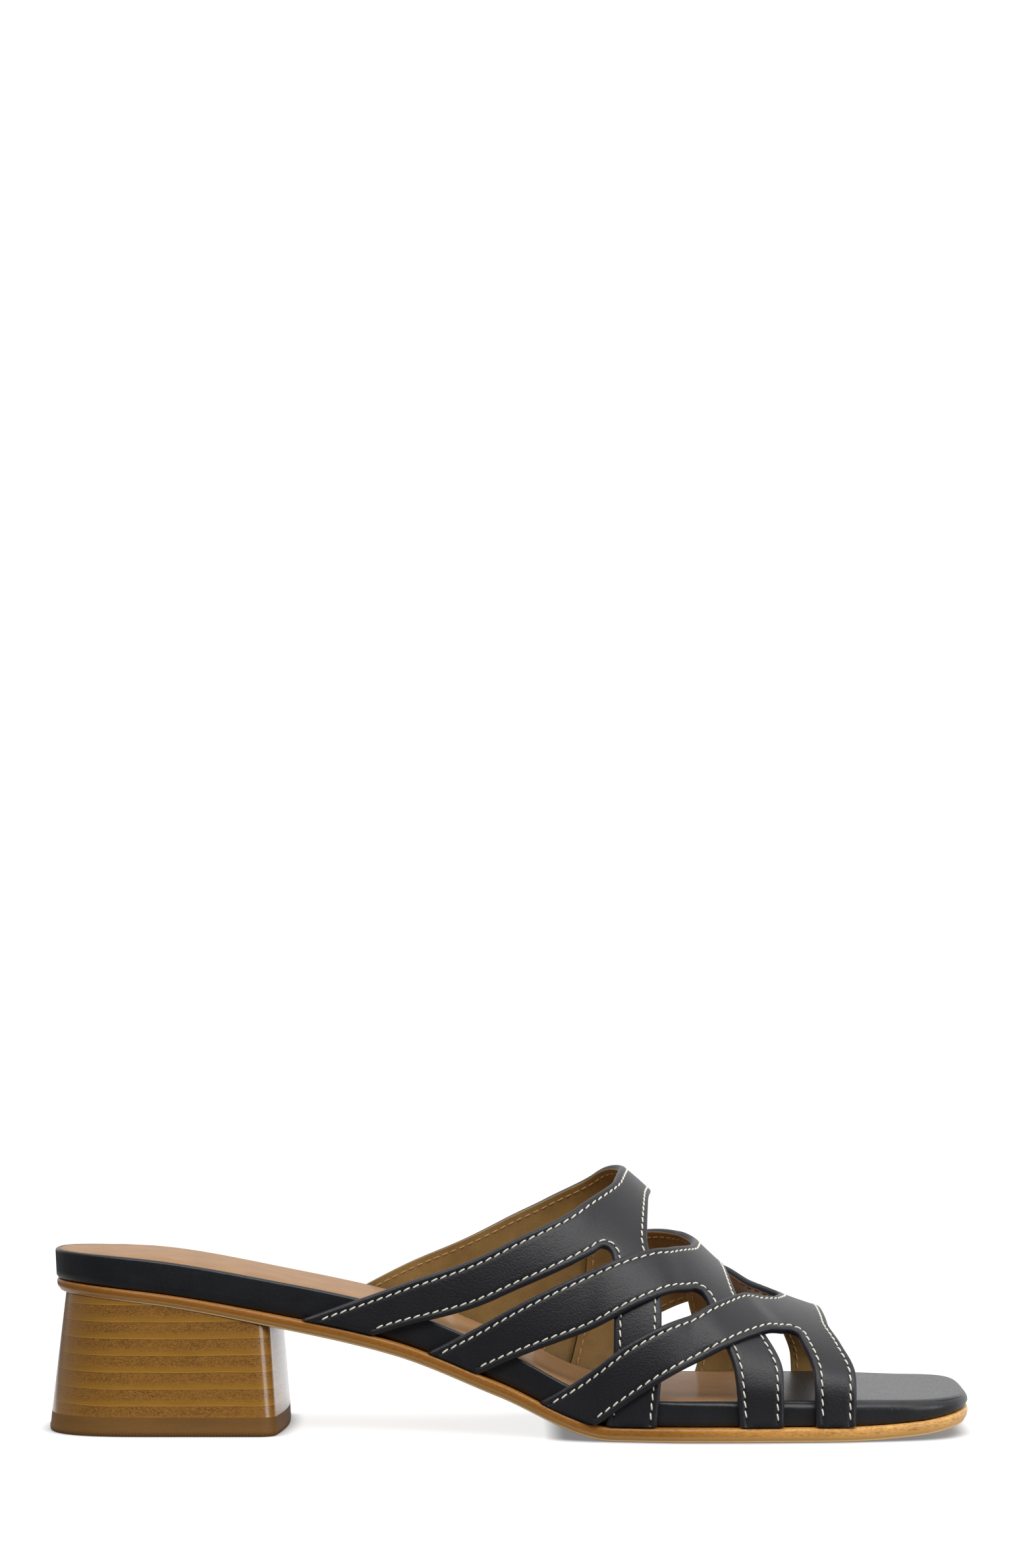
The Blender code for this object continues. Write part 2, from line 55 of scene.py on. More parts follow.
# Rows of x, height under the outsole, its thickness, the footbed's, and its upper edge's radius
SOLE_PROFILE = [
    (-123.6, 37.4, 3.1, 7.7, 0.8),
    (-95.0, 34.5, 3.2, 8.4, 0.8),
    (-62.0, 28.5, 3.5, 8.5, 0.8),
    (-30.0, 21.2, 3.7, 8.6, 0.8),
    (-3.0, 10.9, 3.8, 8.6, 0.8),
    (27.0, 0.0, 3.8, 7.0, 0.9),
    (48.0, 0.0, 3.8, 6.5, 1.3),
    (88.0, 0.0, 3.8, 6.6, 2.6),
    (107.0, 1.1, 3.7, 5.3, 2.6),
    (123.6, 3.9, 3.6, 3.1, 2.1),
]
# Rows of x, half width of the footbed on the outer and the inner side, and the outsole's margin
PLAN = [
    (-123.6, 26.4, 26.4, 0.5),
    (-95.0, 26.5, 26.5, 0.5),
    (-58.0, 26.0, 25.0, 1.6),
    (-18.0, 28.5, 24.5, 2.2),
    (20.0, 36.5, 33.0, 2.2),
    (48.0, 40.7, 41.2, 2.2),
    (80.0, 39.5, 41.3, 2.2),
    (104.0, 36.5, 38.2, 1.2),
    (123.6, 33.5, 35.0, 0.6),
]
SOLE_EDGE = [
    (2.0, 0.0), (1.55, 0.012), (1.1, 0.03), (0.9, 0.06), (0.82, 0.1), (0.78, 0.14), (0.62, 0.2),
    (0.34, 0.3), (0.14, 0.4), (0.04, 0.52), (0.0, 0.68), (0.02, 0.8), (0.15, 0.91), (0.5, 1.0),
]
OUTLINE_POINTS = {"heel": 40, "side": 150, "toe": 44}
SHARP_ANGLE = 55
FILL_TOLERANCE = 1e-6
CAP_CLEARANCE = 0.4


def curve_through(places, values, level_start=False):
    """Smooth curve through the given values that never overshoots them."""
    places = np.array(places, float)
    values = np.array(values, float)
    widths = np.diff(places)
    slopes = np.diff(values) / widths
    tangents = np.zeros_like(values)
    tangents[0] = 0 if level_start else slopes[0]
    tangents[-1] = slopes[-1]
    for i in range(1, len(values) - 1):
        if slopes[i - 1] * slopes[i] > 0:
            before = 2 * widths[i] + widths[i - 1]
            after = widths[i] + 2 * widths[i - 1]
            tangents[i] = (before + after) / (before / slopes[i - 1] + after / slopes[i])

    def value_at(place):
        place = np.clip(place, places[0], places[-1])
        k = np.clip(np.searchsorted(places, place, side="right") - 1, 0, len(widths) - 1)
        t = (place - places[k]) / widths[k]
        rise = 3 * t**2 - 2 * t**3
        bend_out = widths[k] * tangents[k] * (t**3 - 2 * t**2 + t)
        bend_in = widths[k] * tangents[k + 1] * (t**3 - t**2)
        return values[k] * (1 - rise) + values[k + 1] * rise + bend_out + bend_in

    return value_at


def curves_along(rows):
    """Smooth curves along x, one through each further column of a table."""
    x, *columns = zip(*rows)
    return [curve_through(x, column) for column in columns]


sole_bottom, sole_thick, bed_thick, bed_edge = curves_along(SOLE_PROFILE)
outer_width, inner_width, sole_margin = curves_along(PLAN)
half_width = {-1: outer_width, 1: inner_width}


def sole_top(x):
    return sole_bottom(x) + sole_thick(x)


def plan_outline(heel_x, margin_share):
    """Outline of the shoe seen from above, outer side from heel to toe and inner side back."""
    heel_turn = np.linspace(0, math.pi / 2, OUTLINE_POINTS["heel"], endpoint=False)
    toe_turn = np.linspace(math.pi / 2, 0, OUTLINE_POINTS["toe"])
    heel_end = heel_x + HEEL_ROUND
    toe_start = TOE_X - TOE_ROUND
    side_x = np.linspace(heel_end, toe_start, OUTLINE_POINTS["side"], endpoint=False)
    x = np.concatenate([
        heel_end - HEEL_ROUND * np.cos(heel_turn) ** (2 / HEEL_SQUARENESS),
        side_x,
        toe_start + TOE_ROUND * np.cos(toe_turn) ** (2 / TOE_SQUARENESS),
    ])
    narrowing = np.concatenate([
        np.sin(heel_turn) ** (2 / HEEL_SQUARENESS),
        np.ones(len(side_x)),
        np.sin(toe_turn) ** (2 / TOE_SQUARENESS),
    ])
    sides = {}
    for side in (-1, 1):
        y = side * (half_width[side](x) + margin_share * sole_margin(x)) * narrowing
        swing = np.clip((x - TOE_SWING_START) / (TOE_X - TOE_SWING_START), 0, 1)
        sides[side] = np.stack([x + TOE_SWING * y * swing, y], axis=1)
    return np.concatenate([sides[-1], sides[1][-2:0:-1]])


def unit(vectors):
    """Vectors of the same directions, each one long."""
    return vectors / np.linalg.norm(vectors, axis=-1, keepdims=True)


def inset(outline, distance):
    """Move each point of a closed outline inwards, square to the outline."""
    along = unit(np.roll(outline, -1, axis=0) - np.roll(outline, 1, axis=0))
    inward = np.stack([-along[:, 1], along[:, 0]], axis=1)
    return outline + inward * np.reshape(distance, (-1, 1))


def ring_at(outline, distance, height_at):
    """Outline moved inwards and laid on a height that depends on x."""
    moved = inset(outline, distance)
    return np.column_stack([moved, height_at(moved[:, 0])])


def inside_outline(points, outline):
    """Which points lie inside a closed outline."""
    start = outline
    end = np.roll(outline, -1, axis=0)
    climb = np.where(end[:, 1] == start[:, 1], 1.0, end[:, 1] - start[:, 1])
    crosses = (start[:, 1] > points[:, None, 1]) != (end[:, 1] > points[:, None, 1])
    crossing_x = start[:, 0] + (points[:, None, 1] - start[:, 1]) * (end - start)[:, 0] / climb
    return (crosses & (points[:, None, 0] < crossing_x)).sum(1) % 2 == 1


def fill(outline, extra):
    """Triangles over a closed outline that also pass through extra points inside it."""
    points = np.concatenate([outline, extra])
    count = len(outline)
    borders = [(i, (i + 1) % count) for i in range(count)]
    filled = delaunay_2d_cdt([Vector(point) for point in points], borders, [], 1, FILL_TOLERANCE)
    sources = [source[0] for source in filled[3]]
    return [tuple(sources[i] for i in face) for face in filled[2]]


def grid_over(outline, grid, start):
    """Points of a grid over an outline's box, from a share of a step inside its corner."""
    low, high = outline.min(0), outline.max(0)
    rows = np.meshgrid(*[np.arange(low[i] + start * grid[i], high[i], grid[i]) for i in (0, 1)])
    return np.stack([rows[0].ravel(), rows[1].ravel()], axis=1)


def cap_points(outline, grid):
    """Points on a grid inside a closed outline, clear of its edge."""
    points = grid_over(outline, grid, 0.5)
    return points[inside_outline(points, inset(outline, CAP_CLEARANCE * min(grid)))]


def add_piece(name, points, faces, finishes, face_finish=None):
    """Smooth piece made from points in millimetres, riding on the shoe."""
    mesh = bpy.data.meshes.new(name)
    mesh.from_pydata((np.asarray(points) * MM).tolist(), [], faces)
    for finish in finishes:
        mesh.materials.append(finish)
    if face_finish is not None:
        mesh.polygons.foreach_set("material_index", np.asarray(face_finish, np.int32))
    mesh.shade_smooth()
    piece = bpy.data.objects.new(name, mesh)
    bpy.context.scene.collection.objects.link(piece)
    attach(piece, "root")
    return piece


def mark_points(piece, name, values):
    """Value at each point of a piece, for its finish to read."""
    mark = piece.data.attributes.new(name, "FLOAT", "POINT")
    mark.data.foreach_set("value", np.asarray(values, np.float32))


def loft(name, rings, bottom_at, top_at, grid, finish, rises=None):
    """Closed piece through rings of points from the bottom up, filled over at both ends."""
    count = len(rings[0])
    points = [np.array(rings).reshape(-1, 3)]
    i = np.arange(count)
    j = (i + 1) % count
    faces = []
    for k in range(len(rings) - 1):
        low, high = k * count, (k + 1) * count
        faces.extend(np.stack([low + i, low + j, high + j, high + i], axis=1).tolist())
    total = len(points[0])
    for first, height_at, flipped in ((0, bottom_at, True), (total - count, top_at, False)):
        outline = points[0][first:first + count, :2]
        inner = cap_points(outline, grid)
        base = sum(len(block) for block in points) - count
        points.append(np.column_stack([inner, height_at(inner[:, 0], inner[:, 1])]).reshape(-1, 3))
        for triangle in fill(outline, inner):
            face = [first + corner if corner < count else base + corner for corner in triangle]
            faces.append(face[::-1] if flipped else face)
    piece = add_piece(name, np.concatenate(points), faces, [finish])
    piece.data.set_sharp_from_angle(angle=math.radians(SHARP_ANGLE))
    if rises is not None:
        ends = [np.full(len(block), rise) for block, rise in zip(points[1:], (rises[0], rises[-1]))]
        mark_points(piece, "rise", np.concatenate([np.repeat(rises, count), *ends]))
    return piece


def shade(red, green, blue):
    """Colour as the eye reads it, from 0 to 255, turned into the light it gives back."""
    levels = np.array([red, green, blue]) / 255
    light = np.where(levels <= 0.04045, levels / 12.92, ((levels + 0.055) / 1.055) ** 2.4)
    return (*light.tolist(), 1.0)


def wire(node, inputs, output=0):
    """What goes into a shader node put in, and the output of the node that is used."""
    for socket, value in inputs.items():
        if isinstance(value, (tuple, int, float)):
            node.inputs[socket].default_value = value
        else:
            node.id_data.links.new(value, node.inputs[socket])
    return node.outputs[output]


def add_node(tree, kind, inputs, output=0):
    """New node in a shader, and the output of it that is used."""
    return wire(tree.nodes.new("ShaderNode" + kind), inputs, output)


class Finish:
    """Surface finish being mixed: its shader, and the nodes that colour and texture it."""

    def __init__(self, name, roughness, **levels):
        self.material = bpy.data.materials.new(name)
        self.material.use_nodes = True
        self.tree = self.material.node_tree
        self.shader = self.tree.nodes["Principled BSDF"]
        wire(self.shader, {"Roughness": roughness})
        for level, value in levels.items():
            wire(self.shader, {level.replace("_", " ").title().replace("Ior", "IOR"): value})
        self.place = self.node("TexCoord", {}, "Object")
        self.relief = None

    def node(self, kind, inputs, output=0):
        return add_node(self.tree, kind, inputs, output)

    def stretched(self, size, stretch):
        """Places on the piece, scaled so that one unit is one spot of the given size in mm."""
        scale = tuple(1 / (size * MM * part) for part in stretch)
        return self.node("Mapping", {"Vector": self.place, "Scale": scale})

    def cloud(self, size, stretch=(1, 1, 1), detail=2.0, roughness=0.5):
        """Soft random patches."""
        places = self.stretched(size, stretch)
        return self.node(
            "TexNoise", {"Vector": places, "Scale": 1.0, "Detail": detail, "Roughness": roughness}, "Fac")

    def pebbles(self, size):
        """Cells of a leather grain, high in the middle of each cell."""
        cells = self.tree.nodes.new("ShaderNodeTexVoronoi")
        cells.feature = "SMOOTH_F1"
        places = self.stretched(size, (1, 1, 1))
        away = wire(cells, {"Vector": places, "Scale": 1.0, "Smoothness": 0.35}, "Distance")
        return self.combine("SUBTRACT", 1.0, away)

    def axis(self, name):
        """One coordinate of the place, in millimetres."""
        return self.combine("MULTIPLY", self.node("SeparateXYZ", {0: self.place}, name), 1 / MM)

    def mark(self, name):
        """Value marked on the points of the piece."""
        value = self.node("Attribute", {}, "Fac")
        value.node.attribute_name = name
        return value

    def combine(self, operation, first, second=0.0):
        """Two values put together."""
        result = self.node("Math", {0: first, 1: second})
        result.node.operation = operation
        return result

    def spread(self, value, low, high, start=0.0, end=1.0):
        """Value moved from one range to another, held at its ends."""
        return self.node("MapRange", {
            "Value": value, "From Min": low, "From Max": high, "To Min": start, "To Max": end,
        })

    def colours(self, value, stops):
        """Colours along a value from 0 to 1."""
        blend = self.node("ValToRGB", {"Fac": value})
        marks = blend.node.color_ramp.elements
        while len(marks) < len(stops):
            marks.new(0.5)
        for mark, (position, *tone) in zip(marks, stops):
            mark.position = position
            mark.color = shade(*tone)
        return blend

    def toned(self, patches, *tones):
        """Soft patches coloured in equal steps from the first tone to the last."""
        stops = [(i / (len(tones) - 1), *tone) for i, tone in enumerate(tones)]
        return self.colours(self.spread(patches, 0.3, 0.7), stops)

    def mixed(self, share, first, second):
        """Two colours mixed by a share."""
        mix = self.tree.nodes.new("ShaderNodeMix")
        mix.data_type = "RGBA"
        return wire(mix, {0: share, 6: first, 7: second}, 2)

    def paint(self, colour):
        wire(self.shader, {"Base Color": colour})

    def polish(self, roughness):
        wire(self.shader, {"Roughness": roughness})

    def emboss(self, height, depth):
        """Small relief of the given depth in millimetres, laid over what is there already."""
        bump = self.node("Bump", {"Height": height, "Strength": 1.0, "Distance": depth * MM})
        if self.relief is not None:
            wire(bump.node, {"Normal": self.relief})
        self.relief = bump
        wire(self.shader, {"Normal": bump})


burnished = Finish("burnished_sole_edge", 0.4, specular_ior_level=0.35, coat_weight=0.15,
                   coat_roughness=0.22)
along_sole = burnished.spread(burnished.axis("X"), -125, 125)
up_the_edge = burnished.mark("rise")
sole_fibres = burnished.cloud(0.5, (2.2, 2.2, 0.8), detail=5, roughness=0.65)
sole_blotches = burnished.cloud(6.0, detail=3)
sole_tan = burnished.colours(along_sole, [
    (0.0, 136, 86, 22), (0.4, 153, 99, 30), (0.66, 150, 98, 30), (0.76, 204, 146, 70),
    (0.85, 214, 158, 82), (1.0, 226, 176, 104),
])
pale_bevel = burnished.mixed(0.6, sole_tan, shade(216, 168, 104))
fibre_stain = burnished.spread(sole_fibres, 0.46, 0.66, 0.0, 0.6)
blotch_stain = burnished.spread(sole_blotches, 0.4, 0.75, 0.0, 0.4)
mottled = burnished.mixed(fibre_stain, sole_tan, shade(112, 68, 24))
mottled = burnished.mixed(blotch_stain, mottled, shade(156, 98, 30))
edge_tan = burnished.mixed(burnished.spread(up_the_edge, 0.34, 0.5), pale_bevel, mottled)
# Painted highlight: a pale line along the rounded lower lip of the edge, where it catches the light.
lip = burnished.combine("MULTIPLY", burnished.spread(up_the_edge, 0.02, 0.06),
                        burnished.spread(up_the_edge, 0.11, 0.16, 1.0, 0.0))
burnished.paint(burnished.mixed(lip, edge_tan, shade(236, 200, 146)))
burnished.polish(burnished.spread(sole_fibres, 0.3, 0.7, 0.32, 0.5))
burnished.emboss(sole_fibres, 0.05)

outline = plan_outline(OUTSOLE_HEEL_X, 1.0)
rings = [
    ring_at(outline, drawn_in, lambda x: sole_bottom(x) + rise * sole_thick(x))
    for drawn_in, rise in SOLE_EDGE
]
outsole = loft(
    "outsole_shown", rings, lambda x, y: sole_bottom(x), lambda x, y: sole_top(x), (3.0, 6.0),
    burnished.material, [rise for drawn_in, rise in SOLE_EDGE],
)
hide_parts("outsole")

# Heel block
# Block heel of stacked leather lifts 4.4 mm thick, glued, turned to a flare towards the floor, stained
# and lacquered. Each lift is dark and mottled under a thin pale glue line. It is nailed to the seat.
HEEL_LEVELS = [
    {"level": "floor", "back": -123.6, "breast": -61.2, "half": 28.6},
    {"level": "joint", "back": -123.1, "breast": -61.4, "half": 28.3},
    {"level": "seat", "back": -119.4, "breast": -63.3, "half": 26.0},
]
HEEL_BACK_ROUND = 30.0
HEEL_BACK_SQUARENESS = 2.9
HEEL_CORNER = 4.5
BREAST_BOW = 1.6
HEEL_POINTS = {"breast": 12, "corner": 12, "side": 10, "back": 44}
HEEL_RINGS = 12
TOP_PIECE_THICK = 4.8
LIFT_THICK = 4.4
LIFT_START = 8.2
SEAT_PRESS = 0.05


def heel_outline(level):
    """Plan of the heel: slightly bowed breast with small corners, sides and a squarish round back."""
    half = level["half"]
    corner = np.linspace(0, math.pi / 2, HEEL_POINTS["corner"])
    back_turn = np.linspace(math.pi / 2, 0, HEEL_POINTS["back"])
    breast_y = np.linspace(0, half - HEEL_CORNER, HEEL_POINTS["breast"], endpoint=False)
    corner_x = level["breast"] - HEEL_CORNER * (1 - np.cos(corner))
    corner_y = half - HEEL_CORNER + HEEL_CORNER * np.sin(corner)
    back_end = level["back"] + HEEL_BACK_ROUND
    side_x = np.linspace(level["breast"] - HEEL_CORNER, back_end, HEEL_POINTS["side"] + 2)[1:-1]
    back_x = back_end - HEEL_BACK_ROUND * np.cos(back_turn) ** (2 / HEEL_BACK_SQUARENESS)
    back_y = half * np.sin(back_turn) ** (2 / HEEL_BACK_SQUARENESS)
    breast_x = level["breast"] + BREAST_BOW * (1 - (breast_y / (half - HEEL_CORNER)) ** 2)
    x = np.concatenate([breast_x, corner_x, side_x, back_x])
    y = np.concatenate([breast_y, corner_y, np.full(len(side_x), half), back_y])
    inner = np.stack([x, y], axis=1)
    outer = np.stack([x, -y], axis=1)[-2:0:-1]
    return np.concatenate([inner, outer])


def flat(height):
    """Height that is the same all over a piece."""
    return lambda x, y=None: np.full(len(x), height)


def seat_at(x):
    """Height of the heel seat, pressed up against the outsole."""
    return sole_bottom(x) + SEAT_PRESS


lacquered = Finish("lacquered_heel_stack", 0.42, specular_ior_level=0.35, coat_weight=0.85,
                   coat_roughness=0.14)
sway = lacquered.spread(lacquered.cloud(22.0, (1, 1, 3), detail=2), 0.3, 0.7, -0.14, 0.14)
lift_height = lacquered.combine("ADD", lacquered.axis("Z"), sway)
above_start = lacquered.combine("ADD", lift_height, 100 * LIFT_THICK - LIFT_START)
lift_share = lacquered.combine("FRACT", lacquered.combine("DIVIDE", above_start, LIFT_THICK))
smooth_stain = lacquered.colours(lift_share, [
    (0.0, 162, 118, 42), (0.05, 151, 107, 29), (0.3, 151, 106, 27), (0.45, 156, 108, 34),
    (0.92, 152, 104, 36), (0.955, 104, 66, 16), (0.985, 174, 130, 52),
])
fibre_cloud = lacquered.cloud(0.95, (1.6, 1.6, 0.62), detail=3, roughness=0.6)
fibre_curls = lacquered.combine("FRACT", lacquered.combine("MULTIPLY", fibre_cloud, 6.0))
fibre_colour = lacquered.colours(fibre_curls, [
    (0.0, 84, 51, 13), (0.28, 122, 80, 25), (0.55, 156, 110, 42), (0.8, 120, 78, 24), (1.0, 84, 51, 13),
])
rough_band = lacquered.combine("MULTIPLY", lacquered.spread(lift_share, 0.1, 0.45),
                               lacquered.spread(lift_share, 0.93, 0.97, 1.0, 0.0))
stain_patches = lacquered.spread(lacquered.cloud(5.0, (2.5, 2.5, 0.8), detail=2), 0.32, 0.6, 0.65, 1.0)
# The fibre curls thin out towards the back of the heel.
curls_thin_at_back = lacquered.spread(lacquered.axis("X"), -121, -111, 0.3, 0.95)
rough_patches = lacquered.combine("MULTIPLY", rough_band, stain_patches)
fibre_share = lacquered.combine("MULTIPLY", rough_patches, curls_thin_at_back)
streaks = lacquered.spread(lacquered.cloud(1.0, (9, 9, 0.35), detail=3), 0.35, 0.7, 0.0, 0.4)
streaked_stain = lacquered.mixed(streaks, smooth_stain, shade(118, 78, 22))
stain = lacquered.mixed(fibre_share, streaked_stain, fibre_colour)
# Painted shade: the stain is darkened towards the round back of the heel, where less light falls.
painted_back_shade = lacquered.spread(lacquered.axis("X"), -122, -104, 0.4, 0.0)
lacquered.paint(lacquered.mixed(painted_back_shade, stain, shade(104, 68, 16)))
lacquered.polish(lacquered.spread(fibre_cloud, 0.3, 0.7, 0.34, 0.5))
lacquered.emboss(fibre_share, -0.03)

floor_outline, joint_outline, seat_outline = [heel_outline(level) for level in HEEL_LEVELS]
block_low = TOP_PIECE_THICK + SEAM_GAP
rings = []
for share in np.linspace(0, 1, HEEL_RINGS):
    outline = joint_outline + (seat_outline - joint_outline) * share
    rings.append(np.column_stack([outline, block_low + (seat_at(outline[:, 0]) - block_low) * share]))
heel_block = loft("heel_block_shown", rings, flat(block_low), lambda x, y: seat_at(x), (5.0, 5.0),
                  lacquered.material)
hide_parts("heel_block")

# Heel top piece
# Brown rubber tip nearly 5 mm thick, glued under the block and sanded flush with it. Its lower
# corner carries a row of fine milled teeth all round.
TOOTH_PITCH = 0.85
TOOTH_DEPTH = 0.16
TOOTH_POINTS = 4
# Rings of the toothed corner: drawn in by, share of the tooth's depth, and height
TOOTH_RINGS = [(0.45, 1.0, 0.0), (0.12, 1.3, 0.28), (0.03, 1.0, 0.62), (0.0, 0.0, 0.85), (0.0, 0.0, 1.4)]

rubber = Finish("brown_heel_rubber", 0.62, specular_ior_level=0.35)
crumbs = rubber.cloud(0.35, detail=4)
smears = rubber.cloud(5.0, (3, 3, 0.5), detail=3)
smeared = rubber.toned(smears, (104, 70, 24), (114, 78, 28))
rubber.paint(rubber.mixed(rubber.spread(crumbs, 0.4, 0.75, 0.0, 0.3), smeared, shade(90, 59, 20)))
rubber.emboss(crumbs, 0.05)


def run_along(line):
    """Length run from the first point of a line to each point."""
    return np.concatenate([[0], np.cumsum(np.linalg.norm(np.diff(line, axis=0), axis=1))])


def read_along(marks, run, line):
    """Points of a line read at marks along its run."""
    return np.stack([np.interp(marks, run, line[:, i]) for i in range(line.shape[1])], axis=-1)


def evenly(outline, count):
    """The same closed outline with points at equal steps along it."""
    closed = np.concatenate([outline, outline[:1]])
    run = run_along(closed)
    return read_along(np.linspace(0, run[-1], count, endpoint=False), run, closed)


girth = np.linalg.norm(np.roll(floor_outline, -1, axis=0) - floor_outline, axis=1).sum()
tooth_points = TOOTH_POINTS * int(girth / TOOTH_PITCH)
floor_outline = evenly(floor_outline, tooth_points)
flush_outline = evenly(joint_outline, tooth_points)
teeth = TOOTH_DEPTH * (np.arange(tooth_points) % TOOTH_POINTS < TOOTH_POINTS / 2)
rings = []
for drawn_in, tooth_share, height in TOOTH_RINGS:
    rings.append(ring_at(floor_outline, drawn_in + tooth_share * teeth, flat(height)))
for share in (0.4, 0.7, 1.0):
    outline = floor_outline + (flush_outline - floor_outline) * share
    rings.append(ring_at(outline, 0.0, flat(block_low * share)))
top_piece = loft("heel_top_piece_shown", rings, flat(0.0), flat(block_low), (6.0, 6.0), rubber.material)
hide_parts("heel_top_piece")

# Footbed
# Board and cork filler wrapped in thin smooth black leather, turned over a rounded upper edge and
# cemented on the outsole. It shows as a black wall under the straps and as the bare toe.
BED_HEEL_X = -122.7
BED_FOOT_INSET = 0.7
BED_LEAN_INSET = 0.3
BED_LEAN_HEIGHT = 0.6
SOCK_THICK = 1.0
SOCK_INSET = 0.3
SOCK_FRONT_X = 65.0
SOCK_FRONT_BOW = 5.0
SOCK_FRONT_POINTS = 40
SOCK_BED_WIDTH = 0.3
CREASE_TURN = 0.86
CREASE_DEPTH = 0.2
CREASE_WIDTH = 0.07
CREASE_START_X = 58.0
CREASE_FADE = 12.0
EDGE_TURNS = (*np.linspace(0, 0.7, 6), *np.linspace(0.75, 0.99, 7), *np.linspace(1.06, math.pi / 2, 6))


def bed_bottom(x):
    return sole_top(x) + SEAM_GAP


def bed_top(x):
    return bed_bottom(x) + bed_thick(x)


def sock_outline(drawn_in):
    """Plan of the sock: the footbed's outline drawn in, with a bowed front edge under the straps."""
    outline = plan_outline(BED_HEEL_X, 0.0)
    outline = inset(outline, bed_edge(outline[:, 0]) + SOCK_INSET)
    tip = sum(OUTLINE_POINTS.values())
    behind = outline[:, 0] < SOCK_FRONT_X
    outer = outline[:tip][behind[:tip]]
    inner = outline[tip:][behind[tip:]]
    across = np.linspace(outer[-1, 1], inner[0, 1], SOCK_FRONT_POINTS)
    middle = 0.5 * (across[0] + across[-1])
    bow = 1 - ((across - middle) / (across[-1] - middle)) ** 2
    front = np.stack([SOCK_FRONT_X + SOCK_FRONT_BOW * bow, across], axis=1)
    return inset(np.concatenate([outer, front, inner]), drawn_in)


wrap = Finish("black_wrap_leather", 0.38, specular_ior_level=0.4, coat_weight=0.06,
              coat_roughness=0.25)
wrap_grain = wrap.cloud(0.45, detail=4)
wrap_pulls = wrap.cloud(2.6, (5, 5, 0.6), detail=2)
wrap_crinkles = wrap.cloud(1.1, (1, 1, 3.5), detail=2)
wrap_dust = wrap.cloud(9.0, detail=3)
wrap.paint(wrap.toned(wrap_dust, (20, 21, 24), (28, 29, 33)))
wrap.polish(wrap.spread(wrap_grain, 0.3, 0.7, 0.3, 0.45))
wrap.emboss(wrap_pulls, 0.06)
wrap.emboss(wrap_crinkles, 0.07)
wrap.emboss(wrap_grain, 0.03)

outline = plan_outline(BED_HEEL_X, 0.0)
edge_radius = bed_edge(outline[:, 0])
rings = [
    ring_at(outline, BED_FOOT_INSET, bed_bottom),
    ring_at(outline, BED_LEAN_INSET, lambda x: bed_bottom(x) + BED_LEAN_HEIGHT),
]
for share in (0.25, 0.5, 0.75):
    rings.append(ring_at(outline, BED_LEAN_INSET * (1 - share), lambda x: (
        bed_bottom(x) + BED_LEAN_HEIGHT + share * (bed_thick(x) - BED_LEAN_HEIGHT - bed_edge(x)))))
toe_share = np.clip((outline[:, 0] - CREASE_START_X) / CREASE_FADE, 0, 1)
for turn in EDGE_TURNS:
    crease = CREASE_DEPTH * math.exp(-(((turn - CREASE_TURN) / CREASE_WIDTH) ** 2)) * toe_share
    drawn_in = edge_radius * (1 - math.cos(turn)) + crease * math.cos(turn)
    ring = ring_at(outline, drawn_in, lambda x: bed_top(x) - bed_edge(x) * (1 - math.sin(turn)))
    ring[:, 2] -= crease * math.sin(turn)
    rings.append(ring)


def bed_face(x, y):
    """Height of the footbed's upper face, lower where the sock is let in."""
    under_sock = inside_outline(np.stack([x, y], axis=1), sock_outline(-SOCK_BED_WIDTH))
    return bed_top(x) - np.where(under_sock, SOCK_THICK, 0.0)


footbed = loft("footbed_shown", rings, lambda x, y: bed_bottom(x), bed_face, (2.5, 4.0), wrap.material)
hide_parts("footbed")

# Sock
# Tan sheepskin over a thin foam, from the heel to under the front strap, let into the top of the
# footbed and cemented there. It swells a little in the middle and reflects softly.
SOCK_SWELL = 0.55
SOCK_END_FADE = 30
SOCK_LIFT = 0.04
SOCK_HEEL_PAD = 0.5
HEEL_PAD_X = -88
HEEL_PAD_REACH = 28
SOCK_EDGE = [(0.0, 0.0), (0.0, 0.6), (0.08, 0.82), (0.3, 0.96), (0.7, 1.03)]


def sock_top(x, y):
    """Height of the sock, swelling between its edges and over the heel."""
    side = np.where(y < 0, half_width[-1](x), half_width[1](x)) - bed_edge(x) - SOCK_INSET
    across = np.clip(1 - (y / side) ** 2, 0, 1)
    from_heel = np.clip((x - BED_HEEL_X) / SOCK_END_FADE, 0, 1)
    ends = from_heel * np.clip((SOCK_FRONT_X + SOCK_FRONT_BOW - x) / SOCK_END_FADE, 0, 1)
    pad = SOCK_HEEL_PAD * np.exp(-((x - HEEL_PAD_X) / HEEL_PAD_REACH) ** 2)
    return bed_top(x) + SOCK_LIFT + (SOCK_SWELL + pad) * np.sqrt(across) * ends


sock_leather = Finish("tan_sock_leather", 0.6, specular_ior_level=0.12, coat_weight=0.1,
                      coat_roughness=0.12)
sock_pores = sock_leather.pebbles(0.5)
sock_mottle = sock_leather.cloud(8.0, detail=4)
sock_colour = sock_leather.toned(sock_mottle, (151, 114, 77), (159, 121, 83), (167, 129, 90))
pore_share = sock_leather.spread(sock_pores, 0.55, 0.85, 0.35, 0.0)
sock_leather.paint(sock_leather.mixed(pore_share, sock_colour, shade(134, 98, 63)))
sock_leather.emboss(sock_pores, 0.05)
sock_leather.emboss(sock_mottle, 0.05)

outline = sock_outline(0.0)
rings = [
    ring_at(outline, drawn_in, lambda x: bed_top(x) - SOCK_THICK + rise * SOCK_THICK)
    for drawn_in, rise in SOCK_EDGE
]
sock = loft("sock_shown", rings, lambda x, y: bed_top(x) - SOCK_THICK, sock_top, (2.5, 3.0),
            sock_leather.material)
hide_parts("sock_lining")

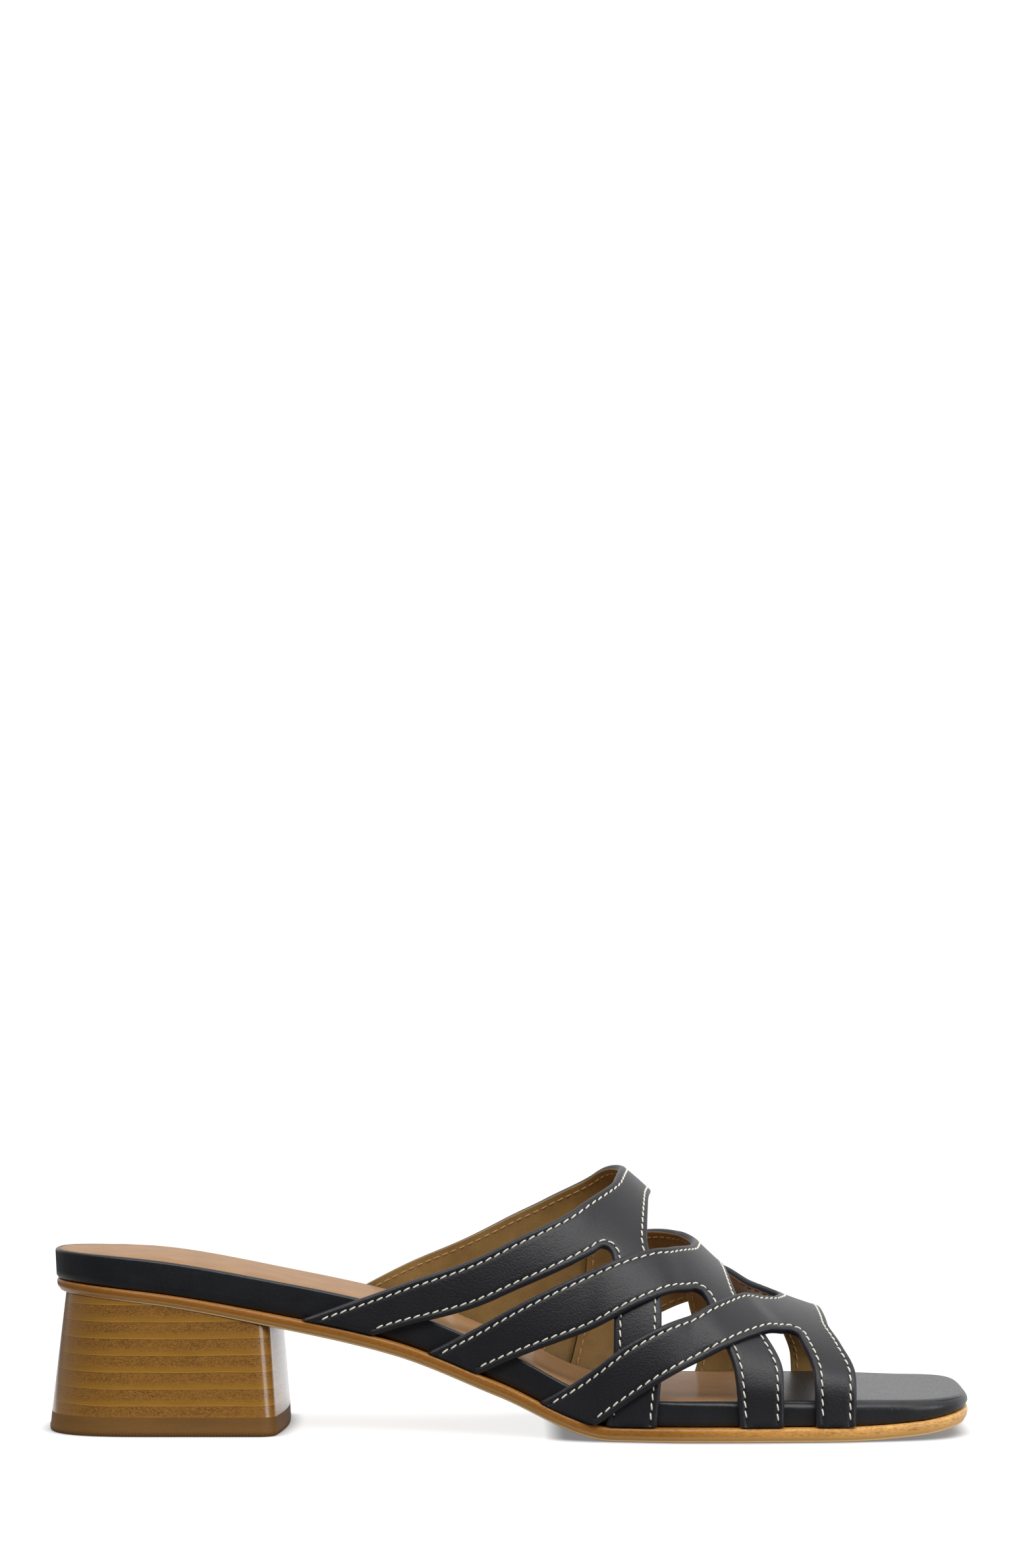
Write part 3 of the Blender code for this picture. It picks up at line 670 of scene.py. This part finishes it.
# Upper
# Three crosses of soft black grain leather lined with tan leather, 2 mm thick with painted edges.
# Each lies over the legs of the one behind it, and its four legs end beside the footbed, on the outsole.
LAST_SQUARENESS = 2.15
# Rows of x, height of the last's ridge, and how far it leans to the inner side
INSTEP = [
    (-60.0, 100.0, 0.0),
    (0.0, 88.0, 3.0),
    (31.0, 67.3, 6.0),
    (38.0, 61.0, 6.0),
    (50.5, 47.6, 6.5),
    (58.0, 41.0, 7.0),
    (71.0, 34.3, 7.0),
    (84.0, 29.6, 7.0),
    (100.0, 25.0, 6.0),
]
EDGE_SHARES = (0.0, 0.2, 0.4, 0.6, 0.8, 1.0)
CROSSES = {
    "back": {
        "rear": (29.4, 27.6, 17.5, -1.5, -26.5, -54.6),
        "slot_rear": (72.0, 52.0, 33.0, 14.0, -7.8, -35.5),
        "slot_front": (25.0, 25.6, 26.2, 27.3, 27.2, 25.2),
        "front": (37.4, 36.2, 35.7, 39.4, 39.5, 38.3),
        "inner_shift": -9.8,
        "inner_bow": -8.5,
        "inner_skew": 1.1,
        "inner_foot": 3.5,
        "inner_front_foot": 0.0,
    },
    "middle": {
        "rear": (49.2, 48.0, 40.7, 18.0, -2.0, -21.5),
        "slot_rear": (100.0, 80.0, 59.5, 38.8, 13.9, -7.8),
        "slot_front": (40.0, 44.2, 48.5, 52.8, 58.2, 59.5),
        "front": (57.3, 57.9, 59.3, 65.8, 70.9, 71.0),
        "inner_shift": -2.2,
        "inner_bow": -10.5,
        "inner_skew": 1.6,
        "inner_foot": 0.0,
        "inner_front_foot": -6.6,
    },
    "front": {
        "rear": (72.8, 70.5, 61.3, 48.8, 26.7, 8.0),
        "slot_rear": (128.0, 108.0, 88.5, 69.3, 46.4, 23.0),
        "slot_front": (69.0, 71.0, 73.2, 75.8, 78.9, 79.2),
        "front": (84.4, 84.2, 84.2, 86.7, 89.8, 89.6),
        "inner_shift": 0.9,
        "inner_bow": -19.5,
        "inner_skew": 1.15,
        "inner_foot": -3.5,
        "inner_front_foot": 0.0,
    },
}
NOMINAL_GIRTH = 75.0
PATTERN_SCALE = np.array([1.0, NOMINAL_GIRTH])
INNER_FOOT_POWER = 4
SLOT_TIP_WIDTH = 3.4
SLOT_TIP_RISE = 1.3
TIP_EASE = 0.95
TIP_ZONE = 10.0
TIP_FADE = 4.0
EASE_STEP = 0.2
EASE_REACH = 16
STRAP_THICK = 2.0
STRAP_SINK = 0.4
FRONT_LEG_RAMP = 9.0
REAR_LEG_RAMP = 4.0
OUTER_ROUND = 0.75
LINING_ROUND = 0.35
SEAM_INSET = 1.75
SEAM_DEPTH = 0.16
SEAM_WIDTH = 0.34
SWELL_INSET = 0.95
SWELL_HEIGHT = 0.07
SWELL_WIDTH = 0.4
EDGE_ROWS = (0.06, 0.16, 0.3, 0.5, 0.78, 1.15, 1.45, 1.75, 2.05, 2.4, 3.0)
ROWS_TO_GRID = 0.7
FAR_INSIDE = 9.0
ROW_END = 0.999
GRID_END = 0.985
CURVE_POINTS = {"edge": 300, "slot": 200, "tip": 40, "search": 501}
EDGE_POINT_STEP = 0.9
FINE_STEP = 0.4
LEATHER_GRID = 1.7
# Soft folds: cross, x and share of the girth at the middle, half length and half width in mm,
# turn from the girth's direction in degrees, and height, less than zero for a trough
FOLDS = [
    ("back", 23.0, -0.40, 6.0, 1.6, 20, -0.16),
    ("back", 19.0, -0.44, 6.0, 2.0, 25, 0.14),
    ("back", 6.0, -0.62, 7.0, 2.6, 30, 0.12),
    ("middle", 45.0, -0.44, 5.5, 1.8, 20, -0.14),
    ("middle", 40.5, -0.47, 6.0, 2.2, 25, 0.14),
    ("middle", 66.0, -0.86, 2.0, 5.0, 0, 0.18),
    ("front", 72.0, -0.45, 6.0, 2.0, 15, 0.14),
    ("front", 66.5, -0.5, 6.0, 1.8, 20, -0.12),
    ("front", 83.5, -0.8, 2.0, 5.0, 0, 0.14),
]
LAST_STEP = 0.5
LAST_X = np.arange(-60.0, 100.01, LAST_STEP)
LAST_SHARES = np.linspace(-1, 1, 401)
SHARE_STEP = LAST_SHARES[1] - LAST_SHARES[0]
WALL_POINTS = 12
ARCH_POINTS = 120

ridge_height, ridge_lean = curves_along(INSTEP)


def last_section(x, side):
    """Half section of the last from the sole's edge to the ridge: share left, y and z."""
    base = bed_bottom(x)
    bed = bed_thick(x)
    lean = ridge_lean(x)
    reach = half_width[side](x) + SEAM_GAP
    wall = np.linspace(0, 1, WALL_POINTS, endpoint=False)
    turn = np.linspace(0, math.pi / 2, ARCH_POINTS)
    arch_y = lean + side * (reach - side * lean) * np.cos(turn) ** (2 / LAST_SQUARENESS)
    arch_z = base + bed + (ridge_height(x) - base - bed) * np.sin(turn) ** (2 / LAST_SQUARENESS)
    y = np.concatenate([np.full(len(wall), side * reach), arch_y])
    z = np.concatenate([base + bed * wall, arch_z])
    run = np.concatenate([[0], np.cumsum(np.hypot(np.diff(y), np.diff(z)))])
    return 1 - run / run[-1], y, z


def last_row(x):
    """Points of the last around the foot at one x, from the outer sole edge to the inner."""
    row = np.full((len(LAST_SHARES), 3), x)
    for side in (-1, 1):
        here = LAST_SHARES * side >= 0
        left, y, z = last_section(x, side)
        row[here, 1] = np.interp(np.abs(LAST_SHARES[here]), left[::-1], y[::-1])
        row[here, 2] = np.interp(np.abs(LAST_SHARES[here]), left[::-1], z[::-1])
    return row


last_points = np.array([last_row(x) for x in LAST_X])
last_along = np.gradient(last_points, LAST_STEP, axis=0)
last_around = np.gradient(last_points, SHARE_STEP, axis=1)
last_out = unit(np.cross(last_along, last_around))


def on_last(grid, pattern):
    """Values kept over the last, read at pattern points of x and share of the girth."""
    place_x = np.clip((pattern[:, 0] - LAST_X[0]) / LAST_STEP, 0, len(LAST_X) - 1.001)
    place_s = np.clip((pattern[:, 1] + 1) / SHARE_STEP, 0, len(LAST_SHARES) - 1.001)
    i, j = place_x.astype(int), place_s.astype(int)
    u, v = (place_x - i)[:, None], (place_s - j)[:, None]
    near = grid[i, j] * (1 - v) + grid[i, j + 1] * v
    far = grid[i + 1, j] * (1 - v) + grid[i + 1, j + 1] * v
    return near * (1 - u) + far * u


def leg_edges(cross, side):
    """Edges of a cross on one side, as curves of x along the share of the girth."""
    shares = np.array(EDGE_SHARES)
    shift = cross["inner_shift"] * shares + cross["inner_front_foot"] * shares**INNER_FOOT_POWER
    bow = cross["inner_bow"] * np.sin(math.pi * shares ** cross["inner_skew"])
    bow += cross["inner_foot"] * shares**INNER_FOOT_POWER
    change = {"rear": bow, "slot_rear": bow, "slot_front": shift, "front": shift}
    edges = {}
    for edge, inner_change in change.items():
        places = np.array(cross[edge]) + (inner_change if side > 0 else 0)
        edges[edge] = curve_through(shares, places, level_start=True)
    search = np.linspace(0, 1, CURVE_POINTS["search"])
    wide = edges["slot_front"](search) - edges["slot_rear"](search) > SLOT_TIP_WIDTH
    edges["slot_share"] = search[np.argmax(wide)]
    return edges


def even_steps(line, step):
    """Pattern line with points at equal true steps along the last."""
    run = run_along(on_last(last_points, line))
    marks = np.linspace(0, run[-1], max(2, int(round(run[-1] / step))) + 1)
    return read_along(marks, run, line)


def moved_in(line, distance, inward):
    """Pattern line moved into the leather by a true distance along the last."""
    step = np.gradient(line, axis=0)
    along = on_last(last_along, line)
    around = on_last(last_around, line)
    run = unit(along * step[:, :1] + around * step[:, 1:])
    into = inward * np.cross(on_last(last_out, line), run)
    along_along, along_around = (along * along).sum(1), (along * around).sum(1)
    around_around = (around * around).sum(1)
    into_along, into_around = (into * along).sum(1), (into * around).sum(1)
    spread = along_along * around_around - along_around**2
    move_x = (into_along * around_around - into_around * along_around) / spread
    move_s = (into_around * along_along - into_along * along_around) / spread
    return line + distance * np.stack([move_x, move_s], axis=1)


def eased(line):
    """Slot line with its corners softened around the tip."""
    run = run_along(line * PATTERN_SCALE)
    marks = np.linspace(0, run[-1], int(run[-1] / EASE_STEP))
    even = read_along(marks, run, line)
    reach = np.arange(-EASE_REACH, EASE_REACH + 1)
    weights = np.exp(-0.5 * (reach * EASE_STEP / TIP_EASE) ** 2)
    weights /= weights.sum()
    padded = np.pad(even, ((EASE_REACH, EASE_REACH), (0, 0)), mode="edge")
    soft = np.stack([np.convolve(padded[:, i], weights, "valid") for i in (0, 1)], axis=1)
    tip = marks[np.argmin(np.abs(even[:, 1]))]
    near_tip = np.clip((TIP_ZONE - np.abs(marks - tip)) / TIP_FADE, 0, 1)[:, None]
    return even + (soft - even) * near_tip


def cut_lines(edges_by_side):
    """The four cut edges of a cross, foot to foot: rear, front and the slot on each side."""
    shares = np.linspace(0, 1, CURVE_POINTS["edge"])
    lines = []
    for edge, inward in (("rear", -1), ("front", 1)):
        outer = np.stack([edges_by_side[-1][edge](shares), -shares], axis=1)
        inner = np.stack([edges_by_side[1][edge](shares), shares], axis=1)
        lines.append((np.concatenate([outer[::-1], inner[1:]]), inward))
    for side, inward in ((-1, 1), (1, -1)):
        edges = edges_by_side[side]
        slot_shares = np.linspace(edges["slot_share"], 1, CURVE_POINTS["slot"])
        turn = np.linspace(0, math.pi, CURVE_POINTS["tip"])[1:-1]
        tip_x = edges["slot_rear"](edges["slot_share"]) + 0.5 * SLOT_TIP_WIDTH * (1 - np.cos(turn))
        tip_s = edges["slot_share"] - SLOT_TIP_RISE / NOMINAL_GIRTH * np.sin(turn)
        rear = np.stack([edges["slot_rear"](slot_shares), side * slot_shares], axis=1)
        front = np.stack([edges["slot_front"](slot_shares), side * slot_shares], axis=1)
        tip = np.stack([tip_x, side * tip_s], axis=1)
        lines.append((eased(np.concatenate([rear[::-1], tip, front])), inward))
    return lines


def lift_over(pattern, laid):
    """How far a leg rides up where it passes over the crosses below it."""
    x = pattern[:, 0]
    place = np.abs(pattern[:, 1])
    lift = np.zeros(len(x))
    for edges_by_side in laid:
        for side in (-1, 1):
            edges = edges_by_side[side]
            rear = edges["rear"](place)
            slot_rear = edges["slot_rear"](np.maximum(place, edges["slot_share"]))
            front_leg = np.where(place < edges["slot_share"], rear, edges["slot_front"](place))
            front = edges["front"](place)
            here = pattern[:, 1] * side >= 0
            legs = ((rear, slot_rear, REAR_LEG_RAMP), (front_leg, front, FRONT_LEG_RAMP))
            for low, high, ramp in legs:
                fall = np.clip(np.maximum(low - x, x - high) / ramp, 0, 1)
                lift = np.where(here, np.maximum(lift, 1 - 3 * fall**2 + 2 * fall**3), lift)
    return lift * (STRAP_THICK - STRAP_SINK)


def folds_at(name, pattern):
    """Height of the soft folds of one cross."""
    height = np.zeros(len(pattern))
    for cross, x, share, length, width, turn, rise in FOLDS:
        if cross != name:
            continue
        middle = np.array([[x, share]])
        offset = pattern - middle
        around = np.linalg.norm(on_last(last_around, middle))
        along = np.linalg.norm(on_last(last_along, middle))
        u, v = offset[:, 0] * along, offset[:, 1] * around
        slant = math.radians(turn)
        run = u * math.sin(slant) + v * math.cos(slant)
        across = u * math.cos(slant) - v * math.sin(slant)
        height += rise * np.exp(-((run / length) ** 2) - (across / width) ** 2)
    return height


def edge_round(distance, radius):
    """How far a rounded edge falls away, by the distance from the cut."""
    reach = np.clip(radius - distance, 0, radius)
    return radius - np.sqrt(radius**2 - reach**2)


def cross_points(pattern, height):
    """Points of a cross at a height over the last."""
    return on_last(last_points, pattern) + height[:, None] * on_last(last_out, pattern)


def outer_height(name, pattern, distance, laid):
    """Height of the leather's face: thickness, rounded edge, stitch groove and folds."""
    groove = SEAM_DEPTH * np.exp(-(((distance - SEAM_INSET) / SEAM_WIDTH) ** 2))
    swell = SWELL_HEIGHT * np.exp(-(((distance - SWELL_INSET) / SWELL_WIDTH) ** 2))
    face = lift_over(pattern, laid) + STRAP_THICK - edge_round(distance, OUTER_ROUND) - groove + swell
    return face + folds_at(name, pattern)


def build_cross(name, lines, laid, finishes):
    """Leather cross: face, lining and the painted edge between them."""
    cuts = [even_steps(line, EDGE_POINT_STEP) for line, inward in lines]
    rear, front, outer_slot, inner_slot = cuts

    def foot(start, end):
        count = int(abs(end[0] - start[0]) / EDGE_POINT_STEP)
        return np.linspace(start, end, count + 2)[1:-1]

    outline = np.concatenate([
        rear, foot(rear[-1], inner_slot[0]), inner_slot, foot(inner_slot[-1], front[-1]),
        front[::-1], foot(front[0], outer_slot[-1]), outer_slot[::-1], foot(outer_slot[0], rear[0]),
    ])
    feet = np.abs(outline[:, 1]) > 1 - 1e-9
    corner = feet & ~(np.roll(feet, 1) & np.roll(feet, -1))
    outline_distance = np.where(feet & ~corner, FAR_INSIDE, 0.0)
    rows, row_distance = [], []
    for cut, (line, inward) in zip(cuts, lines):
        for distance in EDGE_ROWS:
            row = moved_in(cut, distance, inward)
            row = row[np.abs(row[:, 1]) < ROW_END]
            rows.append(row)
            row_distance.append(np.full(len(row), distance))
    border = np.concatenate([even_steps(line, FINE_STEP) for line, inward in lines])
    border_points = on_last(last_points, border)
    nearest_cut = KDTree(len(border_points))
    for i, point in enumerate(border_points):
        nearest_cut.insert(point, i)
    nearest_cut.balance()
    grid = grid_over(outline, LEATHER_GRID / PATTERN_SCALE, 0.0)
    inside = inside_outline(grid * PATTERN_SCALE, outline * PATTERN_SCALE)
    grid = grid[inside & (np.abs(grid[:, 1]) < GRID_END)]
    clear = EDGE_ROWS[-1] + ROWS_TO_GRID
    grid = grid[[nearest_cut.find(point)[2] > clear for point in on_last(last_points, grid)]]
    extra = np.concatenate([*rows, grid])
    pattern = np.concatenate([outline, extra])
    distance = np.concatenate([outline_distance, *row_distance, np.full(len(grid), FAR_INSIDE)])
    filled = fill(outline * PATTERN_SCALE, extra * PATTERN_SCALE)
    triangles = np.array([face for face in filled if len(face) == 3])
    count, border_count = len(pattern), len(outline)
    lift = lift_over(pattern, laid)
    face_points = cross_points(pattern, outer_height(name, pattern, distance, laid))
    lining_points = cross_points(pattern, lift + edge_round(distance, LINING_ROUND))
    i = np.arange(border_count)
    j = (i + 1) % border_count
    walls = np.stack([i, i + count, j + count, j], axis=1)
    corners = face_points[triangles]
    turned = np.cross(corners[:, 1] - corners[:, 0], corners[:, 2] - corners[:, 0])
    flipped = (turned * on_last(last_out, pattern[triangles[:, 0]])).sum(1).mean() < 0
    face_side = triangles[:, ::-1] if flipped else triangles
    lining_side = face_side[:, ::-1] + count
    walls = walls if flipped else walls[:, ::-1]
    faces = face_side.tolist() + lining_side.tolist() + walls.tolist()
    kinds = [0] * len(face_side) + [1] * len(lining_side) + [2] * len(walls)
    both_sides = np.concatenate([face_points, lining_points])
    piece = add_piece("upper_" + name, both_sides, faces, finishes, kinds)
    mark_points(piece, "rim", np.concatenate([distance, distance]))
    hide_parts("upper")


leather = Finish("black_grain_leather", 0.45, specular_ior_level=0.4, coat_weight=0.1,
                 coat_roughness=0.35)
leather_grain = leather.pebbles(0.52)
leather_pores = leather.cloud(0.25, detail=3)
leather_cloud = leather.cloud(10.0, detail=3)
leather_colour = leather.toned(leather_cloud, (17, 17, 21), (23, 23, 28))
# Painted highlight: the leather is lightened within about 1.4 mm of each cut edge, where the rounded edge
# catches the light.
painted_edge_highlight = leather.spread(leather.mark("rim"), 0.3, 1.4, 0.35, 0.0)
leather.paint(leather.mixed(painted_edge_highlight, leather_colour, shade(36, 37, 46)))
leather.polish(leather.spread(leather_pores, 0.3, 0.7, 0.38, 0.52))
leather.emboss(leather_cloud, 0.1)
leather.emboss(leather_grain, 0.05)
leather.emboss(leather_pores, 0.025)

lining = Finish("tan_lining_leather", 0.5, coat_weight=0.08, coat_roughness=0.35)
lining_nap = lining.cloud(0.5, detail=4)
lining_colour = lining.toned(lining.cloud(7.0, detail=3), (122, 93, 47), (142, 111, 61))
nap_share = lining.spread(lining_nap, 0.4, 0.75, 0.0, 0.35)
lining.paint(lining.mixed(nap_share, lining_colour, shade(102, 75, 37)))
lining.emboss(lining_nap, 0.05)


def two_toned(name, roughness, grain, dark, light, depth, **levels):
    """Finish with one fine grain that colours and embosses it."""
    finish = Finish(name, roughness, **levels)
    patches = finish.cloud(*grain)
    finish.paint(finish.toned(patches, dark, light))
    finish.emboss(patches, depth)
    return finish.material


edge_paint = two_toned("black_edge_paint", 0.42, (0.6, (2, 2, 1), 3), (16, 18, 30), (24, 27, 44), 0.06,
                       specular_ior_level=0.3, coat_weight=0.06, coat_roughness=0.2)
strap_finishes = [leather.material, lining.material, edge_paint]
crosses_laid = []
cross_lines = {}
laid_below = {}
for name, cross in CROSSES.items():
    edges_by_side = {side: leg_edges(cross, side) for side in (-1, 1)}
    cross_lines[name] = cut_lines(edges_by_side)
    laid_below[name] = list(crosses_laid)
    build_cross(name, cross_lines[name], laid_below[name], strap_finishes)
    crosses_laid.append(edges_by_side)

# Topstitching
# Cream waxed thread sewn 1.75 mm inside every edge of the crosses, about ten stitches to 25 mm,
# each lying a little askew between two needle holes. On the lining the under thread is tan.
STITCH_PITCH = 2.54
STITCH_LENGTH = 2.0
STITCH_SINK = 0.13
STITCH_FULLNESS = 0.4
FACE_STITCH = {"radius": 0.235, "proud": 0.3, "lean": 0.17}
LINING_STITCH = {"radius": 0.22, "proud": 0.22, "lean": 0.05}
STITCH_RINGS = 9
STITCH_SIDES = 8
HOLE_LENGTH = 0.42
HOLE_WIDTH = 0.26
HOLE_RIM = 0.03
HOLE_DEPTH = 0.3
HOLE_TURN = 50
HOLE_SIDES = 10
SEAM_STEP = 0.2
SEAM_END = 0.995
TWIST = (0.22,)
TWIST_DEPTH = 0.08

cream_thread = two_toned("cream_thread", 0.55, TWIST, (204, 200, 186), (232, 228, 216), TWIST_DEPTH,
                         sheen_weight=0.15)
tan_thread = two_toned("tan_thread", 0.6, TWIST, (150, 112, 66), (190, 150, 98), TWIST_DEPTH,
                       sheen_weight=0.1)
# Painted shade: small near-black prisms set into the leather at each needle hole stand in for the shade
# inside the holes.
painted_hole_shade = Finish("needle_hole_painted_shade", 0.9, specular_ior_level=0.1)
painted_hole_shade.paint(painted_hole_shade.colours(painted_hole_shade.cloud(0.2), [(0.3, 6, 6, 8), (0.7, 14, 14, 17)]))


def seam_frames(name, line, inward, side):
    """Points at short steps along a seam, with its run, its outward and its sideways directions."""
    seam = even_steps(moved_in(even_steps(line, FINE_STEP), SEAM_INSET, inward), SEAM_STEP)
    seam = seam[np.abs(seam[:, 1]) < SEAM_END]
    laid = laid_below[name]
    depth = np.full(len(seam), SEAM_INSET)
    height = outer_height(name, seam, depth, laid) if side > 0 else lift_over(seam, laid)
    points = cross_points(seam, height)
    run = unit(np.gradient(points, axis=0))
    out = side * on_last(last_out, seam)
    out = unit(out - (out * run).sum(1, keepdims=True) * run)
    return run_along(points), points, run, out, np.cross(out, run)


def tubes(rings):
    """Points and faces of many small closed tubes, each through its own rings of points."""
    count, steps, sides = rings.shape[:3]
    base = np.arange(count)[:, None, None] * steps * sides
    k = base + np.arange(steps - 1)[None, :, None] * sides
    i = np.arange(sides)[None, None, :]
    j = (i + 1) % sides
    walls = np.stack([k + i, k + j, k + sides + j, k + sides + i], axis=-1).reshape(-1, 4)
    starts = base[:, 0] + np.arange(sides)[::-1]
    ends = base[:, 0] + (steps - 1) * sides + np.arange(sides)
    return rings.reshape(-1, 3), walls.tolist() + starts.tolist() + ends.tolist()


def sew(seam, radius, proud, lean):
    """Points and faces of every stitch along one seam."""
    length, points, run, out, across = seam
    count = int((length[-1] - STITCH_PITCH) / STITCH_PITCH)
    starts = STITCH_PITCH * (0.5 + np.arange(count))
    share = np.linspace(0, 1, STITCH_RINGS)
    marks = starts[:, None] + STITCH_LENGTH * share[None, :]
    place, upward, sideways = [read_along(marks, length, line) for line in (points, out, across)]
    bow = np.sin(math.pi * share) ** STITCH_FULLNESS
    place = place + upward * (proud * bow - STITCH_SINK)[None, :, None]
    place = place + sideways * (lean * (2 * share - 1))[None, :, None]
    girth = radius * (0.5 + 0.5 * bow)
    turn = np.linspace(0, 2 * math.pi, STITCH_SIDES, endpoint=False)
    ring = upward[:, :, None, :] * np.cos(turn)[None, None, :, None]
    ring = ring + sideways[:, :, None, :] * np.sin(turn)[None, None, :, None]
    return tubes(place[:, :, None, :] + ring * girth[None, :, None, None])


def pierce(seam):
    """Points and faces of small near-black prisms, painted shade in the needle holes between the stitches
    of one seam.
    """
    length, points, run, out, across = seam
    count = int((length[-1] - STITCH_PITCH) / STITCH_PITCH) + 1
    marks = STITCH_PITCH * (0.5 + np.arange(count)) - 0.5 * (STITCH_PITCH - STITCH_LENGTH)
    place, forward, upward, sideways = [
        read_along(marks, length, line) for line in (points, run, out, across)
    ]
    turn = np.linspace(0, 2 * math.pi, HOLE_SIDES, endpoint=False)
    slant = math.radians(HOLE_TURN)
    long_way = forward * math.cos(slant) - sideways * math.sin(slant)
    short_way = forward * math.sin(slant) + sideways * math.cos(slant)
    rim = place[:, None, :] + long_way[:, None, :] * (HOLE_LENGTH * np.cos(turn))[None, :, None]
    rim = rim + short_way[:, None, :] * (HOLE_WIDTH * np.sin(turn))[None, :, None]
    mouths = rim + upward[:, None, :] * HOLE_RIM
    ends = rim - upward[:, None, :] * HOLE_DEPTH
    return tubes(np.stack([mouths, ends], axis=1))


def gather(name, parts, finish):
    """One piece from many small ones."""
    points, faces, base = [], [], 0
    for part_points, part_faces in parts:
        points.append(part_points)
        faces.extend([[base + corner for corner in face] for face in part_faces])
        base += len(part_points)
    add_piece(name, np.concatenate(points), faces, [finish])


for name, lines in cross_lines.items():
    face_seams = [seam_frames(name, line, inward, 1) for line, inward in lines]
    lining_seams = [seam_frames(name, line, inward, -1) for line, inward in lines]
    gather("stitches_" + name, [sew(seam, **FACE_STITCH) for seam in face_seams], cream_thread)
    gather("needle_holes_" + name, [pierce(seam) for seam in face_seams], painted_hole_shade.material)
    gather("lining_stitches_" + name, [sew(seam, **LINING_STITCH) for seam in lining_seams], tan_thread)

# Floor and studio light
# A plain pale paper sweep below a broad soft lamp on the near side. The camera sees it glowing white,
# with a painted contact shadow close under the shoe; reflections and bounced light see painted shade
# on its near side. A strip lamp stands low in front of the toe. The room is bright behind and at the
# sides, dark on the near side.
FLOOR_REACH = 6
CONTACT_SHADE = 0.005
CEILING_LIGHT = 1.4
BACKDROP_LIGHT = 1.05
WHITE = (1.0, 1.0, 1.0, 1.0)


def shown_apart(tree, lighting, pictured, output):
    """One surface that lights the shoe and another that the picture shows in its place."""
    for_picture = add_node(tree, "LightPath", {}, "Is Camera Ray")
    choice = add_node(tree, "MixShader", {0: for_picture, 1: lighting, 2: pictured})
    tree.links.new(choice, tree.nodes[output].inputs["Surface"])


floor_mesh = bpy.data.meshes.new("paper_floor")
corners = [(x * FLOOR_REACH, y * FLOOR_REACH, 0) for x, y in ((-1, -1), (1, -1), (1, 1), (-1, 1))]
floor_mesh.from_pydata(corners, [], [(0, 1, 2, 3)])
paper = Finish("white_paper", 0.9, specular_ior_level=0.0)
# Painted shade: the paper's tone, seen only in reflections and bounced light, is dark on the near side of
# the shoe and beyond its heel.
painted_floor_shade = paper.combine("MULTIPLY", paper.spread(paper.axis("Y"), -90, 60),
                           paper.spread(paper.axis("X"), -290, -130))
paper.paint(paper.colours(painted_floor_shade, [(0.0, 76, 76, 76), (1.0, 236, 236, 236)]))
# Painted contact shadow: the glow the camera sees is dimmed where the paper lies close under the shoe.
openness = paper.node("AmbientOcclusion", {"Distance": CONTACT_SHADE}, "AO")
glow_with_contact_shadow = paper.node("Emission", {"Strength": paper.spread(openness, 0.38, 0.95, 0.22, 0.84)})
pale_face = paper.node("BsdfDiffuse", {"Color": shade(140, 140, 140)})
lit_paper = paper.node("AddShader", {0: pale_face, 1: glow_with_contact_shadow})
shown_apart(paper.tree, paper.shader.outputs[0], lit_paper, "Material Output")
floor_mesh.materials.append(paper.material)
floor = bpy.data.objects.new("paper_floor", floor_mesh)
bpy.context.scene.collection.objects.link(floor)

room = bpy.data.worlds.new("light_room")
room.use_nodes = True
direction = add_node(room.node_tree, "TexCoord", {}, "Generated")


def room_level(axis, start, end, low, high):
    """Brightness of the room that changes smoothly along one direction."""
    way = add_node(room.node_tree, "SeparateXYZ", {0: direction}, axis)
    level = add_node(room.node_tree, "MapRange", {
        "Value": way, "From Min": start, "From Max": end, "To Min": low, "To Max": high,
    })
    level.node.interpolation_type = "SMOOTHSTEP"
    return level


back_wall = room_level("Y", -0.95, 0.25, 0.05, 1.0)
side_walls = room_level("X", -0.95, -0.25, 0.25, 1.0)
ceiling = room_level("Z", 0.5, 0.85, 0.0, 1.0)
wall_light = add_node(room.node_tree, "Math", {0: back_wall, 1: side_walls})
wall_light.node.operation = "MULTIPLY"
brightness = add_node(room.node_tree, "Mix", {0: ceiling, 2: wall_light, 3: CEILING_LIGHT})
sky = wire(room.node_tree.nodes["Background"], {"Color": WHITE, "Strength": brightness})
backdrop = add_node(room.node_tree, "Background", {"Color": WHITE, "Strength": BACKDROP_LIGHT})
shown_apart(room.node_tree, sky, backdrop, "World Output")
bpy.context.scene.world = room


def hang_lamp(name, width, height, power, place, turn):
    """Soft lamp of a size in metres and a power in watts, turned in degrees."""
    lamp = bpy.data.lights.new(name, "AREA")
    lamp.shape = "RECTANGLE"
    lamp.size = width
    lamp.size_y = height
    lamp.energy = power
    stand = bpy.data.objects.new(name, lamp)
    stand.location = place
    stand.rotation_euler = [math.radians(angle) for angle in turn]
    bpy.context.scene.collection.objects.link(stand)


hang_lamp("softbox", 1.4, 0.45, 9.5, (0.0, -0.8, 0.8), (45, 0, 0))
hang_lamp("strip_light", 0.42, 0.6, 3.4, (0.8, -0.55, 0.2), (90, 0, 55))

# Camera
# Level camera 0.9 m from the shoe's middle and 104 mm above the floor, with the long lens and the
# raised frame of the photograph.
PHOTO_HEIGHT = 2380
FOCAL_LENGTH_ROWS = 5040
EYE_ROW = 1580
camera = bpy.data.cameras.new("camera")
camera.sensor_fit = "VERTICAL"
camera.sensor_height = 36.0
camera.lens = camera.sensor_height * FOCAL_LENGTH_ROWS / PHOTO_HEIGHT
camera.shift_y = (EYE_ROW - PHOTO_HEIGHT / 2) / PHOTO_HEIGHT
camera.clip_start = 0.01
camera_stand = bpy.data.objects.new("camera", camera)
camera_stand.location = (0.0, -0.9, 0.104)
camera_stand.rotation_euler = (math.pi / 2, 0, 0)
bpy.context.scene.collection.objects.link(camera_stand)
bpy.context.scene.camera = camera_stand
bpy.context.scene.view_settings.view_transform = "Standard"
